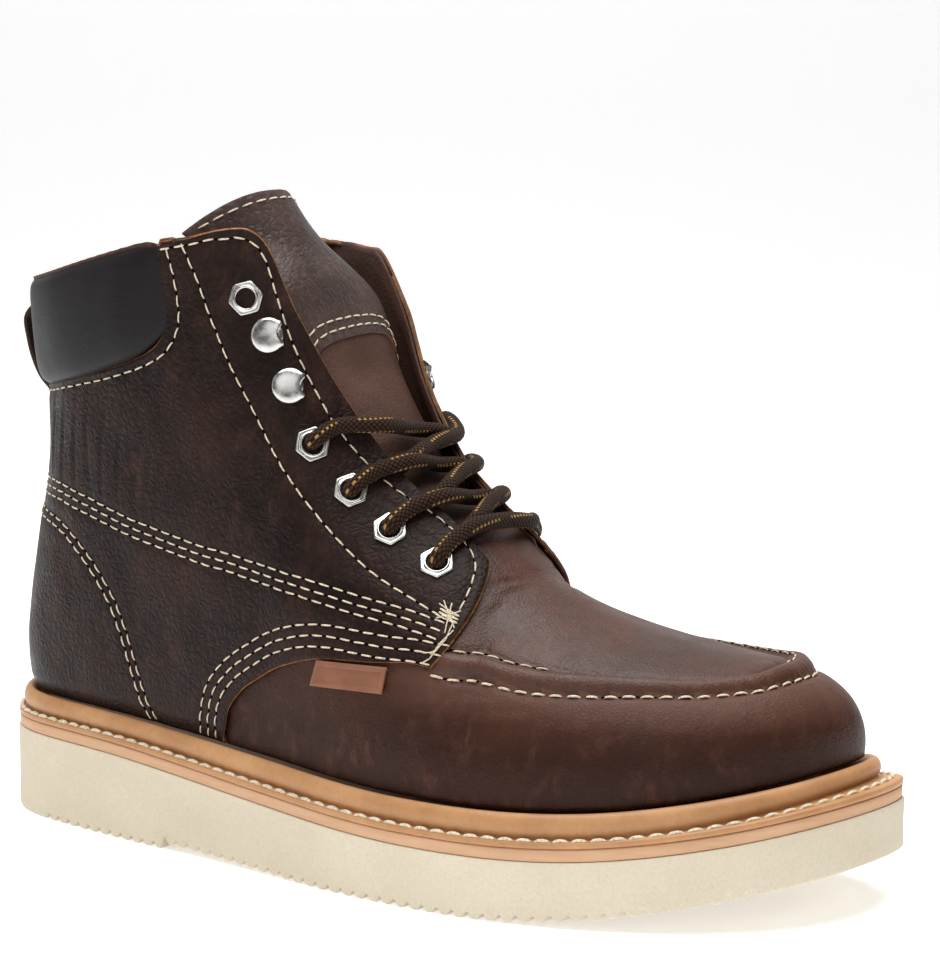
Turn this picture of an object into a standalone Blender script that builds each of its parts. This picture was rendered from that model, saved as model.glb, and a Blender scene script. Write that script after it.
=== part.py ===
"""A right-foot work boot: a laced leather upper with a raised toe seam, on a rippled wedge sole."""

import bmesh
import bpy
import numpy as np
from mathutils import Matrix, Vector

for old in list(bpy.data.objects):
    bpy.data.objects.remove(old, do_unlink=True)

# Sizes are in millimetres: x forward from the heel, -y to the lateral side, z up from the floor.
MM = 0.001
TINY = 1e-9
WELD = 2e-6
NEAR = 0.004
LENGTH = 300.0
TIP_Y = 17.0
GAP = 0.3
CENTRE_X = 150.0
CENTRE_Y = -0.83

# The sole's edge at stations along its length.
EDGE_COLUMNS = ("x", "lateral", "medial")
SOLE_EDGE = [
    (4.0, -15.0, 14.5),
    (16.0, -27.5, 28.0),
    (40.0, -35.5, 36.0),
    (75.0, -41.5, 37.5),
    (110.0, -46.5, 37.5),
    (150.0, -53.5, 42.5),
    (185.0, -56.5, 50.0),
    (215.0, -54.5, 54.5),
    (245.0, -46.5, 54.0),
    (268.0, -34.5, 50.0),
    (286.0, -19.0, 42.5),
    (296.5, -1.0, 32.0),
]

# Heights of the wedge's top and of the welt bead's top along the sole.
HEIGHT_COLUMNS = ("x", "wedge", "bead")
SOLE_HEIGHTS = [
    (0.0, 26.7, 39.4),
    (60.0, 26.0, 38.0),
    (120.0, 21.2, 34.0),
    (180.0, 17.8, 30.6),
    (240.0, 19.8, 33.0),
    (270.0, 24.5, 38.0),
    (300.0, 31.5, 45.5),
]
MIDSOLE_THICK = 3.8
MIDSOLE_INSET = 0.6
INSOLE_THICK = 4.0
INSOLE_CLEAR = 0.8
LIP_THICK = 3.3
LIP_INSET = 0.4
LIP_EASE = 0.5
BEAD_WIDTH = 4.6
BEAD_SHARE = 0.72

# Stations along the slabs of the sole: evenly spaced over the middle, closer towards the round ends.
SLAB_MIDDLE = (24.0, 272.0)
SLAB_STATIONS = 20
END_STATIONS = 8
END_ANGLE = 0.12
EDGE_READS = 600

# The underside: a flat heel, a breast step into the arch, a flat forefoot and the toe spring.
BREAST_X = 84.0
ARCH_RISE = 2.0
ARCH_END = 150.0
SPRING_START = 200.0
TOE_SPRING = 17.0
SPRING_POWER = 1.8
RIPPLE_PITCH = 4.95
RIPPLE_FIRST = 30.4
RIPPLE_COUNT = 51
RIPPLE_DEPTH = 1.8
GROOVE_MOUTH = 2.9
GROOVE_FLOOR = 1.1
WAIST_PANEL = (46.0, 27.0)
WAIST_PANEL_AT = (129.0, -4.0)
WAIST_PANEL_TOP = 3.6

# Ribs of the upper, each from the welt to the collar, throat or top of the foot. "share" runs along
# half of the sole's edge from the heel (0) to the toe (1). The rib ends at x, mid -/+ gap, z, where
# the medial end is lower by "drop". Its two handles lean out from the foot and rise, or fall.
RIB_COLUMNS = ("share", "x", "mid", "gap", "z", "drop", "low_out", "low_up", "high_out", "high_fall")
RIBS = [
    (0.0, 16.0, 0.0, 0.0, 168.0, 0.0, 9.5, 36.0, -14.0, 55.0),
    (0.08, 21.5, 0.0, 20.5, 168.5, 0.0, 9.0, 36.0, -13.0, 55.0),
    (0.16, 38.5, 0.0, 34.5, 171.5, 0.0, 7.0, 38.0, -8.0, 55.0),
    (0.25, 64.0, 0.0, 41.0, 178.0, 1.5, 4.0, 40.0, -4.0, 55.0),
    (0.33, 92.5, 0.0, 40.0, 185.5, 5.0, 3.0, 40.0, 0.0, 50.0),
    (0.385, 110.0, 0.0, 34.0, 190.5, 9.5, 3.0, 40.0, 4.0, 45.0),
    (0.405, 116.0, 0.0, 31.0, 186.0, 8.5, 3.0, 40.0, 6.0, 42.0),
    (0.44, 126.3, 0.0, 28.5, 165.0, 4.0, 3.0, 38.0, 9.5, 35.0),
    (0.48, 137.0, 0.0, 22.5, 143.0, 1.0, 3.0, 36.0, 15.0, 27.0),
    (0.52, 153.0, 0.0, 17.0, 120.5, 0.0, 3.0, 34.0, 19.0, 17.0),
    (0.555, 170.5, 0.0, 14.5, 106.0, 0.0, 3.0, 32.0, 20.0, 10.0),
    (0.585, 185.0, 0.5, 13.5, 95.0, 0.0, 3.0, 30.0, 20.0, 6.0),
    (0.60, 190.0, 1.0, 9.0, 91.5, 0.0, 3.0, 30.0, 22.0, 4.0),
    (0.612, 193.0, 1.0, 0.0, 90.0, 0.0, 3.0, 30.0, 27.0, 3.0),
    (0.66, 206.0, 2.0, 0.0, 83.5, 0.0, 3.5, 29.0, 30.0, 3.0),
    (0.72, 222.0, 4.0, 0.0, 77.5, 0.0, 4.0, 29.0, 30.0, 2.0),
    (0.80, 240.0, 7.0, 0.0, 73.5, 0.0, 4.0, 27.0, 26.0, 2.0),
    (0.88, 252.0, 10.0, 0.0, 71.5, 0.0, 3.5, 23.5, 22.0, 2.0),
    (1.00, 252.0, 10.0, 0.0, 71.5, 0.0, 3.0, 20.0, 22.0, 2.5),
]
THROAT_END = 0.612
POLE = 0.88
WALL = 2.0
HEEL_INSET = 6.0
SIDE_INSET = 7.5
TOE_INSET = 12.0
HEEL_INSET_END = 0.25
TOE_INSET_START = 0.72

# The line along which the quarter's lower edge, and then the toe seam, runs up the ribs.
SEAM_COLUMNS = ("share", "rise")
SEAM = [
    (0.0, 0.30),
    (0.2, 0.24),
    (0.34, 0.13),
    (0.369, 0.135),
    (0.397, 0.18),
    (0.431, 0.232),
    (0.469, 0.29),
    (0.537, 0.371),
    (0.575, 0.43),
    (0.635, 0.475),
    (0.69, 0.50),
    (0.80, 0.52),
    (0.85, 0.54),
    (0.90, 0.575),
    (0.95, 0.615),
    (1.0, 0.635),
]
QUARTER_STEP = 1.2
SEAM_RIDGE = 1.4
SEAM_HALF = 0.032
STEP_HALF = 0.004
QUARTER_FOOT = 0.354
QUARTER_FRONT = 0.591
FRONT_LEAN = 0.016
FRONT_LEAN_RISES = (0.42, 0.62)
STEP_SHARE = 0.0015
COLUMNS_BACK = (0.0, 0.035, 0.07, 0.105, 0.14, 0.18, 0.22, 0.26, 0.30, 0.335)
COLUMNS_MID = (0.375, 0.39, 0.40, 0.41, 0.425, 0.445, 0.465, 0.485, 0.505, 0.525, 0.545, 0.563)
COLUMNS_TOE = (0.602, 0.612, 0.635, 0.66, 0.69, 0.72, 0.75, 0.78, 0.81, 0.845, 0.88, 0.91, 0.94, 0.97, 1.0)
WELT_SHARES = COLUMNS_BACK + COLUMNS_MID[1::2] + COLUMNS_TOE[1:]
LOW_ROWS = (0.0, 0.16, 0.58)
HIGH_ROWS = (0.2, 0.42, 0.64, 0.84, 1.0)
INNER_ROWS = (0, 2, 4, 7, 8, 9, 10, 11)

# The tongue, from under the vamp to above the collar. Its top panel stands proud of the softer part below.
TONGUE_LOW_SHARES = (0.650, 0.63, 0.612, 0.60, 0.585, 0.565, 0.545, 0.52, 0.495, 0.47, 0.456)
TONGUE_PANEL_SHARES = (0.452, 0.44, 0.425)
TONGUE_TOP_COLUMNS = ("x", "mid", "half", "z", "sweep", "drop")
TONGUE_TOP = [
    (113.0, -3.0, 29.0, 184.0, 14.0, 4.0),
    (104.5, -7.0, 29.0, 199.0, 14.0, 12.0),
]
TONGUE_TOP_POWER = 2.5
TONGUE_CLEAR = 2.6
TONGUE_THICK = 3.0
TONGUE_PANEL = 0.8
TONGUE_TUCK = 18.0
TONGUE_CROWN = 2.0
TONGUE_BRIDGE = (0.15, 0.85)
TONGUE_ACROSS = 13
OVER_THROAT = np.array((0.5, 0.0, 0.85))
FULL_CROWN_GAP = 36.0
LEAST_BRIDGE = 4.0

# The padded collar: its lower edge on the ribs, and its section as height and offset from the wall.
PAD_COLUMNS = ("share", "rise", "puff")
PAD = [
    (0.0, 0.803, 1.0),
    (0.14, 0.803, 1.0),
    (0.25, 0.806, 1.0),
    (0.285, 0.813, 0.8),
    (0.305, 0.832, 0.5),
    (0.315, 0.865, 0.25),
]
PAD_SHARES = COLUMNS_BACK[:-2] + (0.285, 0.30, 0.315)
PAD_SLOT_SHARES = (0.25, 0.5, 0.75)
PAD_SLOT_GAP = 0.5
PAD_OUT = 3.8
PAD_IN = 5.5
PAD_TOP = 2.6

# The pull loop behind the collar, as how far it stands off the heel's rib and its height.
LOOP_COLUMNS = ("off", "z")
LOOP_PATH = [
    (7.6, 158.0),
    (10.2, 160.0),
    (13.6, 157.0),
    (13.8, 150.5),
    (12.2, 144.0),
    (9.2, 138.5),
    (5.0, 134.5),
    (2.7, 131.0),
    (2.5, 126.5),
]
LOOP_THICK = 1.6
LOOP_WIDTH = 18.0

# The bare side tag under the quarter's lower edge.
TAG_SHARES = (0.461, 0.539)
TAG_RISE = 0.056
TAG_THICK = 1.2

# Eyelets and hooks along the throat, counted up from the toe.
FITTING_COLUMNS = ("name", "share", "rise")
FITTINGS = [
    ("eyelet_{}_1", 0.562, 0.780),
    ("eyelet_{}_2", 0.531, 0.780),
    ("eyelet_{}_3", 0.502, 0.786),
    ("eyelet_{}_4", 0.468, 0.778),
    ("hook_{}_1", 0.440, 0.822),
    ("hook_{}_2", 0.417, 0.842),
    ("eyelet_{}_5", 0.393, 0.860),
]
SEAT = 0.55
SEAT_SPAN = 0.01
EYELET_ACROSS = 10.4
EYELET_PLATE = 0.9
EYELET_BORE = 2.6
BARREL_WALL = 0.45
BARREL_SIDES = 8
HOLE_RADIUS = 3.5
HOLE_REACH = (-8.0, 4.0)
HOOK_RADIUS = 5.6
HOOK_HEIGHT = 5.2
HOOK_STEPS = 10

# Laces over the throat: each starts beside its eyelet, crosses the flap's edge at one share and the far
# edge at another. Reach is how far it goes across (1 is the far edge, 2 the far eyelet), and its height
# over the throat is given at the middle and the end.
LACE_COLUMNS = ("name", "side", "share", "edge", "far", "reach", "mid_lift", "end_lift")
LACES = [
    ("lace_bar", -1, 0.562, 0.562, 0.570, 1.58, 5.2, 4.6),
    ("lace_b", 1, 0.531, 0.551, 0.564, 0.84, 4.4, 1.7),
    ("lace_c", -1, 0.531, 0.541, 0.551, 0.76, 2.4, 1.5),
    ("lace_d", 1, 0.502, 0.530, 0.543, 0.84, 4.4, 1.5),
    ("lace_e", -1, 0.502, 0.515, 0.530, 0.76, 2.4, 1.7),
    ("lace_f", 1, 0.468, 0.511, 0.519, 0.84, 4.4, 1.5),
    ("lace_g", -1, 0.468, 0.494, 0.509, 0.76, 2.4, 1.7),
]
LACE_RADIUS = 2.2
LACE_LIFT = 4.0
LACE_START = 1.58
LACE_POINTS = 9
EYELET_RISE = 0.785


def records(table, names):
    """The rows of a table as values by column name."""
    return [dict(zip(names, row)) for row in table]


def column(table, names, name, at):
    """One column of a table, read smoothly at values of its first column."""
    rows = np.array(table, float)
    x = rows[:, 0]
    y = rows[:, names.index(name)]
    slope = np.gradient(y, x)
    at = np.clip(np.asarray(at, float), x[0], x[-1])
    i = np.clip(np.searchsorted(x, at) - 1, 0, len(x) - 2)
    span = x[i + 1] - x[i]
    u = (at - x[i]) / span
    start = (1 + 2 * u) * (1 - u) ** 2 * y[i] + u * (1 - u) ** 2 * span * slope[i]
    end = u * u * (3 - 2 * u) * y[i + 1] + u * u * (u - 1) * span * slope[i + 1]
    return start + end


def unit(vectors):
    """The same directions at length 1."""
    return vectors / np.maximum(np.linalg.norm(vectors, axis=-1, keepdims=True), TINY)


def ease(value):
    """A smooth step from 0 to 1 over the same range."""
    k = np.clip(value, 0.0, 1.0)
    return k * k * (3 - 2 * k)


def closed_curve(points, per_span=24):
    """A smooth closed curve through the points: a periodic cubic spline."""
    p = np.array(points, float)
    count = len(p)
    step = np.sqrt(np.linalg.norm(np.roll(p, -1, 0) - p, axis=1))
    system = np.zeros((count, count))
    right = np.zeros((count, 2))
    for i in range(count):
        before, after, nxt = step[i - 1], step[i], (i + 1) % count
        system[i, i - 1] += 1 / before
        system[i, i] += 2 / before + 2 / after
        system[i, nxt] += 1 / after
        right[i] = 3 * ((p[i] - p[i - 1]) / before**2 + (p[nxt] - p[i]) / after**2)
    tangent = np.linalg.solve(system, right)
    u = np.linspace(0, 1, per_span, endpoint=False)[:, None]
    spans = []
    for i in range(count):
        nxt = (i + 1) % count
        start = (1 + 2 * u) * (1 - u) ** 2 * p[i] + u * (1 - u) ** 2 * step[i] * tangent[i]
        end = u * u * (3 - 2 * u) * p[nxt] + u * u * (u - 1) * step[i] * tangent[nxt]
        spans.append(start + end)
    return np.vstack(spans)


def sole_halves():
    """The lateral (-1) and medial (+1) half of the sole's edge, from the heel to the toe."""
    rows = records(SOLE_EDGE, EDGE_COLUMNS)
    lateral = [(row["x"], row["lateral"]) for row in rows]
    medial = [(row["x"], row["medial"]) for row in reversed(rows)]
    loop = closed_curve([(0.0, 0.0)] + lateral + [(LENGTH, TIP_Y)] + medial)
    toe = int(np.argmax(loop[:, 0]))
    return {-1: loop[: toe + 1], 1: np.vstack([loop[:1], loop[: toe - 1 : -1]])}


HALVES = sole_halves()


def edge_point(side, share, inset):
    """Points on the sole's edge moved in by the inset, and the level direction out of the edge there."""
    half = HALVES[side]
    run = np.concatenate([[0.0], np.cumsum(np.linalg.norm(np.diff(half, axis=0), axis=1))])
    run = run / run[-1]
    share = np.asarray(share, float)
    low = np.clip(share - NEAR, 0, 1)
    high = np.clip(share + NEAR, 0, 1)
    along_x = np.interp(high, run, half[:, 0]) - np.interp(low, run, half[:, 0])
    along_y = np.interp(high, run, half[:, 1]) - np.interp(low, run, half[:, 1])
    size = np.hypot(along_x, along_y)
    ends = (share <= 0) | (share >= 1)
    out_x = np.where(ends, np.where(share <= 0, -1.0, 1.0), -side * along_y / size)
    out_y = np.where(ends, 0.0, side * along_x / size)
    x = np.interp(share, run, half[:, 0]) - inset * out_x
    y = np.interp(share, run, half[:, 1]) - inset * out_y
    return np.stack([x, y], -1), np.stack([out_x, out_y], -1)


def upper_inset(share):
    """How far the upper's foot stands in from the sole's edge."""
    share = np.asarray(share, float)
    side = (SIDE_INSET - HEEL_INSET) * np.clip(share / HEEL_INSET_END, 0, 1)
    toe = (TOE_INSET - SIDE_INSET) * ease((share - TOE_INSET_START) / (1 - TOE_INSET_START))
    return HEEL_INSET + side + toe


def height(name, x):
    return column(SOLE_HEIGHTS, HEIGHT_COLUMNS, name, x)


def midsole_top(x):
    return height("wedge", x) + MIDSOLE_THICK


def rib_value(name, share):
    """A rib column; the heel's row is a mirror line, so that the collar runs level across it."""
    first = RIBS[1]
    mirrored = (-first[0],) + first[1:3] + (-first[3],) + first[4:]
    return column([mirrored] + RIBS, RIB_COLUMNS, name, share)


def rib_point(side, share, rise):
    """A point of the upper's outer face on one side (-1 lateral, +1 medial)."""
    share, rise = np.broadcast_arrays(np.asarray(share, float), np.asarray(rise, float))
    foot, out = edge_point(side, share, upper_inset(share))
    top_share = np.minimum(share, POLE)
    lower = rib_value("drop", top_share) if side > 0 else 0.0
    gap = np.where(share >= THROAT_END, 0.0, rib_value("gap", top_share))
    start = np.concatenate([foot, height("bead", foot[..., 0])[..., None]], -1)
    end_y = rib_value("mid", top_share) + side * gap
    end = np.stack([rib_value("x", top_share), end_y, rib_value("z", top_share) - lower], -1)

    def moved(point, level, lift):
        return point + np.concatenate([out * level[..., None], lift[..., None]], -1)

    low = moved(start, rib_value("low_out", share), rib_value("low_up", share))
    high = moved(end, rib_value("high_out", share), -rib_value("high_fall", share))
    u = rise[..., None]
    return (1 - u) ** 3 * start + 3 * u * (1 - u) ** 2 * low + 3 * u * u * (1 - u) * high + u**3 * end


def rib_normal(side, share, rise):
    """The outward direction of the upper's face."""
    share, rise = np.broadcast_arrays(np.asarray(share, float), np.asarray(rise, float))
    ahead = np.minimum(share + NEAR, 1.0)
    behind = np.maximum(share - NEAR, 0.0)
    up = np.minimum(rise + NEAR, 1.0)
    down = np.maximum(rise - NEAR, 0.0)
    along = rib_point(side, ahead, rise) - rib_point(side, behind, rise)
    climb = rib_point(side, share, up) - rib_point(side, share, down)
    return unit(-side * np.cross(along, climb))


PARTS = bpy.data.collections.new("work_boot")
CUTTERS = bpy.data.collections.new("cutters")
bpy.context.scene.collection.children.link(PARTS)
bpy.context.scene.collection.children.link(CUTTERS)


def material(name, colour, roughness, metallic=0.0):
    made = bpy.data.materials.new(name)
    made.use_nodes = True
    shader = made.node_tree.nodes["Principled BSDF"]
    shader.inputs["Base Color"].default_value = (*colour, 1.0)
    shader.inputs["Roughness"].default_value = roughness
    shader.inputs["Metallic"].default_value = metallic
    made.diffuse_color = (*colour, 1.0)
    return made


def to_scene(points):
    """Boot millimetres to scene metres, with the boot's middle over the origin."""
    moved = np.asarray(points, float).reshape(-1, 3) - (CENTRE_X, CENTRE_Y, 0.0)
    return moved * MM


def mesh_object(name, points, faces, finish, collection=None):
    """An object from points in boot millimetres; doubled points are welded and faces turned outward."""
    mesh = bpy.data.meshes.new(name)
    mesh.from_pydata([tuple(p) for p in to_scene(points)], [], [tuple(f) for f in faces])
    work = bmesh.new()
    work.from_mesh(mesh)
    bmesh.ops.remove_doubles(work, verts=work.verts, dist=WELD)
    bmesh.ops.recalc_face_normals(work, faces=work.faces)
    work.to_mesh(mesh)
    work.free()
    obj = bpy.data.objects.new(name, mesh)
    (collection or PARTS).objects.link(obj)
    if finish:
        mesh.materials.append(finish)
    return obj


def sheet_faces(rows, columns, start=0, closed_rows=False, closed_columns=False):
    """Quads over a grid of points, listed row by row."""
    faces = []
    for r in range(rows if closed_rows else rows - 1):
        for c in range(columns if closed_columns else columns - 1):
            r2 = (r + 1) % rows
            c2 = (c + 1) % columns
            corners = (r * columns + c, r * columns + c2, r2 * columns + c2, r2 * columns + c)
            faces.append(tuple(start + k for k in corners))
    return faces


def loft(name, sections, finish, closed=False):
    """A solid through closed sections of equal point count; open runs get end caps."""
    sections = np.asarray(sections, float)
    count, size = sections.shape[:2]
    faces = sheet_faces(count, size, closed_rows=closed, closed_columns=True)
    if not closed:
        faces.append(tuple(range(size)))
        faces.append(tuple(range((count - 1) * size, count * size)))
    return mesh_object(name, sections.reshape(-1, 3), faces, finish)


def cut(target, cutter, operation="DIFFERENCE"):
    modifier = target.modifiers.new(operation.lower(), "BOOLEAN")
    modifier.operation = operation
    modifier.solver = "EXACT"
    modifier.object = cutter


def as_cutter(obj):
    for owner in list(obj.users_collection):
        owner.objects.unlink(obj)
    CUTTERS.objects.link(obj)
    obj.hide_render = True
    obj.display_type = "WIRE"
    return obj


CREAM = material("cream_rubber", (0.80, 0.74, 0.61), 0.75)
STRIP = material("pink_tan_leather", (0.55, 0.31, 0.18), 0.6)
TAN = material("tan_leather", (0.58, 0.31, 0.12), 0.55)
BROWN = material("brown_leather", (0.055, 0.028, 0.022), 0.5)
SOFT = material("soft_brown_leather", (0.14, 0.07, 0.05), 0.6)
BLACK = material("black_leather", (0.04, 0.036, 0.037), 0.45)
SOCK = material("sock_fabric", (0.25, 0.17, 0.12), 0.85)
NICKEL = material("nickel", (0.62, 0.61, 0.58), 0.25, 1.0)
CORD = material("brown_cord", (0.06, 0.035, 0.025), 0.8)
TAG = material("tag_rubber", (0.38, 0.16, 0.09), 0.55)


def underside(x):
    """Height of the crests of the tread."""
    arch = ARCH_RISE * (ARCH_END - x) / (ARCH_END - BREAST_X)
    arch = np.where((x > BREAST_X) & (x < ARCH_END), arch, 0.0)
    spring = np.clip((x - SPRING_START) / (LENGTH - SPRING_START), 0, 1) ** SPRING_POWER
    return arch + TOE_SPRING * spring


def inset_sides(inset, follow_upper=False):
    """The sole's two edges moved in, as x and y runs that can be read at any x between their ends."""
    share = np.linspace(0, 1, EDGE_READS)
    if follow_upper:
        inset = inset + upper_inset(share)
    return [edge_point(side, share, inset)[0] for side in (-1, 1)]


def slab_sections(stations, sides, low, high):
    """Four-cornered sections of a slab across the sole at each station."""
    lateral, medial = (np.interp(stations, run[:, 0], run[:, 1]) for run in sides)
    corners = [(lateral, low), (medial, low), (medial, high), (lateral, high)]
    return np.stack([np.stack([stations, y, z], -1) for y, z in corners], 1)


def end_stations(first, last, middle):
    """Stations close together at the round ends of a slab."""
    share = 1 - np.cos(np.linspace(END_ANGLE, np.pi / 2, END_STATIONS))
    heel = first + share * (middle[0] - first)
    toe = last - share[::-1] * (last - middle[-1])
    return np.concatenate([heel[:-1], middle, toe[1:]])


def tread_stations():
    """Stations at the corners of each groove, with each corner's depth into the sole."""
    offsets = np.array([-GROOVE_MOUTH, -GROOVE_FLOOR, GROOVE_FLOOR, GROOVE_MOUTH]) / 2
    depths = np.array([0.0, RIPPLE_DEPTH, RIPPLE_DEPTH, 0.0])
    middles = RIPPLE_FIRST + RIPPLE_PITCH * np.arange(RIPPLE_COUNT)
    x = (middles[:, None] + offsets).ravel()
    return x, np.tile(depths, RIPPLE_COUNT)


def build_outsole():
    grooves, depths = tread_stations()
    stations = end_stations(0.0, LENGTH, grooves)
    lead = int(np.searchsorted(stations, grooves[0] - TINY))
    depth = np.zeros(len(stations))
    depth[lead : lead + len(grooves)] = depths
    sides = inset_sides(0.0)
    low = underside(stations) + depth
    sections = slab_sections(stations, sides, low, height("wedge", stations))
    outsole = loft("outsole", sections, CREAM)
    bpy.ops.mesh.primitive_cube_add(size=1.0)
    panel = bpy.context.object
    panel.name = "waist_panel_cutter"
    panel.location = to_scene((*WAIST_PANEL_AT, 0.0))[0]
    panel.scale = (WAIST_PANEL[0] * MM, WAIST_PANEL[1] * MM, 2 * WAIST_PANEL_TOP * MM)
    cut(outsole, as_cutter(panel))


def build_midsole():
    sides = inset_sides(MIDSOLE_INSET)
    middle = np.linspace(*SLAB_MIDDLE, SLAB_STATIONS)
    stations = end_stations(MIDSOLE_INSET, LENGTH - MIDSOLE_INSET, middle)
    low = height("wedge", stations) + GAP
    loft("midsole", slab_sections(stations, sides, low, midsole_top(stations)), STRIP)


def build_insole():
    sides = inset_sides(WALL + INSOLE_CLEAR, follow_upper=True)
    first = sides[0][0, 0]
    last = sides[0][-1, 0]
    middle = np.linspace(SLAB_MIDDLE[0] + SIDE_INSET, SLAB_MIDDLE[1] - TOE_INSET, SLAB_STATIONS)
    stations = end_stations(first, last, middle)
    low = midsole_top(stations) + GAP
    loft("insole", slab_sections(stations, sides, low, low + INSOLE_THICK), SOCK)


def build_welt():
    """A ring with a flat lip and a round bead against the upper's foot."""
    ring = []
    for side, shares in ((-1, WELT_SHARES[:-1]), (1, WELT_SHARES[:0:-1])):
        for share in shares:
            lip, out = edge_point(side, share, LIP_INSET)
            inner = float(upper_inset(share)) - GAP
            wall, out = edge_point(side, share, inner)
            base = float(midsole_top(lip[0])) + GAP
            top = base + LIP_THICK
            bead = float(height("bead", wall[0]))
            across = np.linalg.norm(lip - wall)
            bead_width = min(BEAD_WIDTH, BEAD_SHARE * across)
            profile = [
                (across, base),
                (across, top - LIP_EASE),
                (across - LIP_EASE, top),
                (bead_width, top),
                (bead_width * 0.97, top + 0.45 * (bead - top)),
                (bead_width * 0.70, top + 0.85 * (bead - top)),
                (bead_width * 0.30, bead),
                (0.0, bead - LIP_EASE),
                (0.0, base),
            ]
            ring.append([(*(wall + out * reach), z) for reach, z in profile])
    loft("welt", ring, TAN, closed=True)


def seam_rise(share):
    return column(SEAM, SEAM_COLUMNS, "rise", share)


def quarter_front(rise):
    """The share at which the quarter's front edge lies: it leans back towards its lower corner."""
    low, high = FRONT_LEAN_RISES
    return QUARTER_FRONT - FRONT_LEAN * ease((high - rise) / (high - low))


def upper_grid():
    """Shares and rises of the upper's grid on one side, and how far each point stands proud."""
    foot = (QUARTER_FOOT - STEP_SHARE, QUARTER_FOOT + STEP_SHARE)
    front = (QUARTER_FRONT - STEP_SHARE, QUARTER_FRONT + STEP_SHARE)
    shares = np.array(COLUMNS_BACK + foot + COLUMNS_MID + front + COLUMNS_TOE)
    seam = seam_rise(shares)
    rows = [k * (seam - SEAM_HALF) for k in LOW_ROWS]
    rows += [seam - SEAM_HALF, seam - STEP_HALF, seam + STEP_HALF, seam + SEAM_HALF]
    above = seam + SEAM_HALF
    rows += [above + k * (1 - above) for k in HIGH_ROWS]
    rises = np.stack(rows, 1)
    grid = np.repeat(shares[:, None], rises.shape[1], 1)
    for offset in (-STEP_SHARE, STEP_SHARE):
        c = int(np.argmin(abs(shares - QUARTER_FRONT - offset)))
        grid[c] = quarter_front(rises[c]) + offset
    guide = len(LOW_ROWS)
    quarter = shares < QUARTER_FRONT
    proud = np.zeros_like(rises)
    proud[quarter, guide + 2 :] = QUARTER_STEP
    proud[shares < QUARTER_FOOT, 1:] = QUARTER_STEP
    proud[~quarter, guide + 1 : guide + 3] = SEAM_RIDGE
    return grid, rises, proud


def build_upper():
    """One hollow wall: an outer and an inner skin on each side, joined under the foot and along the top."""
    grid, rises, proud = upper_grid()
    count = len(grid)
    faces_of = [rib_point(side, grid, rises) for side in (-1, 1)]
    normals = [rib_normal(side, grid, rises) for side in (-1, 1)]
    ridge = grid[:, -1] >= THROAT_END - TINY
    pole = grid[:, -1] >= POLE - TINY
    for edge in ((0, slice(None)), (count - 1, slice(None)), (ridge, -1)):
        shared = unit(normals[0][edge] + normals[1][edge])
        for normal in normals:
            normal[edge] = shared
    points = []
    faces = []
    total = 0
    for face, normal in zip(faces_of, normals):
        normal[pole, -1] = (0.0, 0.0, 1.0)
        floor = midsole_top(face[:, 0, 0]) + GAP
        outer = face + normal * proud[..., None]
        inner = (face - normal * WALL)[:, INNER_ROWS]
        edges = []
        for skin in (outer, inner):
            tuck = skin[:, :1].copy()
            tuck[:, 0, 2] = floor
            skin = np.concatenate([tuck, skin], 1)
            levels = skin.shape[1]
            points.append(skin.reshape(-1, 3))
            faces += sheet_faces(count, levels, total)
            low = total + levels * np.arange(count)
            edges.append((low, low + levels - 1))
            total += count * levels
        for c in range(count - 1):
            for level in (0,) if ridge[c] else (0, 1):
                near = [edge[level][c] for edge in edges]
                far = [edge[level][c + 1] for edge in edges]
                faces.append((near[0], far[0], far[1], near[1]))
    return mesh_object("upper", np.vstack(points), faces, BROWN)


def resample(points, count):
    """Points evenly spaced along a run."""
    points = np.asarray(points, float)
    at = np.concatenate([[0.0], np.cumsum(np.linalg.norm(np.diff(points, axis=0), axis=1))])
    reads = np.linspace(0, at[-1], count)
    return np.stack([np.interp(reads, at, points[:, k]) for k in range(3)], -1)


def rounded(points, passes):
    """A run with its corners eased; its ends stay."""
    points = points.copy()
    for _ in range(passes):
        points[1:-1] = 0.25 * points[:-2] + 0.5 * points[1:-1] + 0.25 * points[2:]
    return points


def flap_rises(share, reach, count):
    """Rises from a given distance under the flap up to the throat's edge."""
    rises = np.linspace(0.5, 1.0, 60)
    run = rib_point(-1, share, rises)
    left = np.cumsum(np.linalg.norm(np.diff(run[::-1], axis=0), axis=1))
    lowest = rises[::-1][1 + int(np.searchsorted(left, reach))]
    return np.linspace(lowest, 1.0, count)


def tongue_row(share, depth):
    """A row of the tongue's outer face: under one flap, over the throat and under the other."""
    rises = flap_rises(share, TONGUE_TUCK, 5)
    wings = []
    for side in (-1, 1):
        face = rib_point(side, share, rises)
        wings.append(face - rib_normal(side, share, rises) * depth)
    left, right = wings[0], wings[1][::-1]
    gap = float(right[0, 1] - left[-1, 1])
    if gap > LEAST_BRIDGE:
        bridge = np.linspace(*TONGUE_BRIDGE, 7)[:, None]
        full = np.clip((gap - LEAST_BRIDGE) / FULL_CROWN_GAP, 0, 1)
        crown = TONGUE_CROWN * full * np.sin(np.pi * bridge)
        middle = left[-1] + bridge * (right[0] - left[-1]) + crown * OVER_THROAT
        run = np.vstack([left, middle, right])
    else:
        run = np.vstack([left[:-1], right[1:]])
    return rounded(resample(run, TONGUE_ACROSS), 2)


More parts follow.
